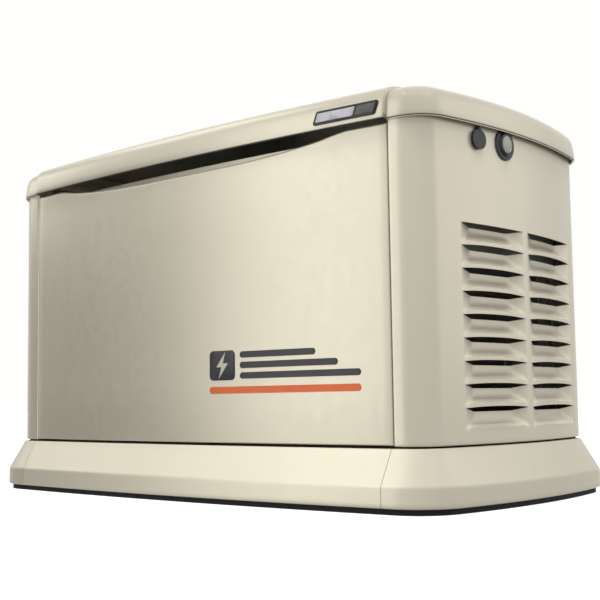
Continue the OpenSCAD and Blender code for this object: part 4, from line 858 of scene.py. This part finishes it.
badge_rim = gloss("badge_rim", (0.008, 0.008, 0.009), 0.4, 0.05)
badge_silver = gloss("badge_silver", (0.52, 0.51, 0.57), 0.3, 0.3)
badge_dark = gloss("badge_dark", (0.085, 0.078, 0.080), 0.4, 0.1)
w, h = BADGE_W / 2, BADGE_H / 2
in_x, in_y = w - 4.8, h - 4.4
laid("badge_plate", slab_outline(-w, -h, w, h, 4.5), on_badge, "lid", badge_rim, 2.6,
     stands_for=("badge",), base=0.4)
laid("badge_inlay_silver", slab_outline(-in_x, -in_y, 18.8, in_y, 2.0), on_badge, "lid", badge_silver, 0.4,
     base=2.9)
laid("badge_inlay_dark", slab_outline(23.4, -in_y, in_x, in_y, 2.0), on_badge, "lid", badge_dark, 0.4,
     base=2.9)

ink = gloss("decal_ink", (0.030, 0.028, 0.032), 0.42, 0.1)
orange = gloss("decal_orange", (0.86, 0.155, 0.022), 0.42, 0.1)
pale_ink = gloss("decal_pale", tint(BISQUE, 1.05), 0.42, 0.1)
DECAL_X0, DECAL_X1, DECAL_Z, PLATE_W, PLATE_H = 87.0, 439.0, 228, 66, 56


def decal(name, outline, material, t=0.25, base=0.0):
    laid(name, outline, on_front, "front_panel", material, t, base=base)


decal("decal_stripe", slab_outline(DECAL_X0, DECAL_Z - 25, DECAL_X1, DECAL_Z - 12, 6.0), orange)
decal("decal_plate", slab_outline(DECAL_X0, DECAL_Z, DECAL_X0 + PLATE_W, DECAL_Z + PLATE_H, 9.0), ink)
for k in range(3):
    low = DECAL_Z + 2 + 19.5 * k
    decal(f"decal_bar_{k + 1}", slab_outline(DECAL_X0 + PLATE_W + 12, low, DECAL_X1 - 48 * k, low + 12, 5.9), ink)
bolt = [(8, 25), (-15, -3), (-2, -3), (-9, -25), (15, 4), (2, 4)]
decal("decal_bolt", [(DECAL_X0 + PLATE_W / 2 + u, DECAL_Z + PLATE_H / 2 + v) for u, v in bolt], pale_ink, 0.2, 0.2)

# ---- stage and light ----
AMBIENT = 0.64
floor_mat = Nodes("pale_floor")
cloud = floor_mat.span(floor_mat.noise(2.0, 3), 0, 1)
floor_mat.set(Base_Color=floor_mat.mix(cloud, (0.90, 0.90, 0.90), (0.92, 0.92, 0.92)), Roughness=0.9)
floor_mat.set(Emission_Color=(1.0, 1.0, 1.0), Emission_Strength=0.72)
floor_mat.bump((floor_mat.noise(300, 3), 0.02, 0.0005))


def stage_sheet(name, corners, material):
    """A four-cornered sheet that belongs to the studio. Corners are in metres."""
    mesh = bpy.data.meshes.new(name)
    mesh.from_pydata(corners, [], [(0, 1, 2, 3)])
    mesh.materials.append(material)
    o = bpy.data.objects.new(name, mesh)
    bpy.context.scene.collection.objects.link(o)
    return o


FLOOR_R, FLOOR_Z = 30, -0.0005
floor = stage_sheet("floor", [(a * FLOOR_R, b * FLOOR_R, FLOOR_Z) for a, b in ((-1, -1), (1, -1), (1, 1), (-1, 1))],
                    floor_mat.material)
floor.visible_diffuse = floor.visible_glossy = floor.visible_shadow = False
flag_mat = Nodes("black_cloth")
weave = flag_mat.span(flag_mat.noise(60, 3), 0, 1)
flag_mat.set(Base_Color=flag_mat.mix(weave, (0.004, 0.004, 0.004), (0.008, 0.008, 0.008)), Roughness=0.95)
# A black card that only reflections see: it makes the front panel's dark band
flag = stage_sheet("flag", [(-1.95, -3.05, -0.7), (-3.55, -1.55, -0.7), (-3.55, -1.55, 1.75), (-1.95, -3.05, 1.75)],
                   flag_mat.material)
flag.visible_camera = flag.visible_shadow = False

world = bpy.data.worlds.new("studio")
world.use_nodes = True
sky = world.node_tree
sky_to = sky.nodes.new("ShaderNodeTexCoord").outputs["Generated"]


def sky_lobe(direction, rim, heart, level, before):
    """The studio wall's level going from `before` to `level` inside a cone around `direction`.
    Rim and heart are the cosines of the angles where the change starts and ends."""
    toward = sky.nodes.new("ShaderNodeVectorMath")
    toward.operation = "DOT_PRODUCT"
    toward.inputs[1].default_value = Vector(direction).normalized()
    sky.links.new(sky_to, toward.inputs[0])
    amount = sky.nodes.new("ShaderNodeMapRange")
    amount.interpolation_type = "SMOOTHSTEP"
    amount.inputs["From Min"].default_value = rim
    amount.inputs["From Max"].default_value = heart
    amount.inputs["To Max"].default_value = level
    if isinstance(before, float):
        amount.inputs["To Min"].default_value = before
    else:
        sky.links.new(before, amount.inputs["To Min"])
    sky.links.new(toward.outputs["Value"], amount.inputs["Value"])
    return amount.outputs["Result"]


FROM_BELOW, BEHIND = 0.22, 1.0  # the dim light under the horizon, and the white wall behind the unit
wall = sky_lobe((0, 0, -1), 0.25, 0.85, FROM_BELOW, AMBIENT)
wall = sky_lobe((-0.62, 0.78, 0.10), 0.55, 0.93, BEHIND, wall)
sky.links.new(wall, sky.nodes["Background"].inputs["Strength"])
sky.nodes["Background"].inputs["Color"].default_value = (1.0, 0.995, 0.985, 1)
bpy.context.scene.world = world


def softbox(name, place, aim, width, height, power, lights):
    """An area light that shows only in reflections (glossy) or only lights (diffuse). Metres and watts."""
    data = bpy.data.lights.new(name, "AREA")
    data.shape = "RECTANGLE"
    data.size, data.size_y, data.energy, data.color = width, height, power, (1, 0.985, 0.955)
    o = bpy.data.objects.new(name, data)
    o.location = place
    o.rotation_mode = "QUATERNION"
    o.rotation_quaternion = (Vector(aim) - Vector(place)).to_track_quat("-Z", "Y")
    o.visible_diffuse = lights == "diffuse"
    o.visible_glossy = lights == "glossy"
    bpy.context.scene.collection.objects.link(o)
    return o


softbox("key", (-1.20, -2.60, 0.95), (0.20, -0.3, 0.9), 1.25, 3.4, 20, "glossy")
softbox("side_left", (-2.9, -1.15, 1.55), (-0.45, -0.3, 0.8), 0.8, 1.1, 4.6, "glossy")
softbox("overhead_left", (-1.3, -0.6, 2.2), (0.1, -0.3, 0.2), 0.9, 0.9, 3.6, "glossy")
softbox("right_fill", (2.8, 2.0, 1.5), (0.5, 0, 0.4), 2.8, 2.6, 10, "glossy")
softbox("top_front", (0.15, -1.35, 2.6), (0.05, -0.25, 0.3), 0.8, 0.5, 21, "diffuse")
softbox("top_right", (1.75, -0.45, 2.5), (0.5, 0.0, 0.4), 0.5, 0.8, 26, "diffuse")
softbox("top_rear", (-1.6, 1.9, 2.4), (-0.1, 0.2, 0.3), 1.0, 1.0, 60, "diffuse")
# Steep lights that graze the upright panels, so that the lid throws its shadow on them
panels = bpy.data.collections.new("upright_panels")
for piece in (front, end_right, end_left, rear):
    panels.objects.link(piece)
GRAZE = (("graze_front", (0.35, -0.88, 2.8), (0.2, -0.33, 0.4), 62),
         ("graze_right", (1.12, -0.1, 2.8), (0.63, -0.05, 0.4), 36),
         ("graze_rear", (0.0, 0.88, 2.8), (0.0, 0.33, 0.4), 50),
         ("graze_left", (-1.12, 0.0, 2.8), (-0.63, 0.0, 0.4), 50))
for name, place, aim, power in GRAZE:
    softbox(name, place, aim, 0.34, 0.34, power, "diffuse").light_linking.receiver_collection = panels
# A low light that brightens the skirt towards the middle of the front
skirts = bpy.data.collections.new("skirts")
for side in ("front", "right"):
    skirts.objects.link(bpy.data.objects[f"fascia_{side}_skirt"])
glow = softbox("fascia_glow", (0.26, -0.92, 0.55), (0.20, -0.36, 0.06), 0.3, 0.3, 3.0, "diffuse")
glow.light_linking.receiver_collection = skirts
bpy.context.scene.view_settings.view_transform = "Standard"
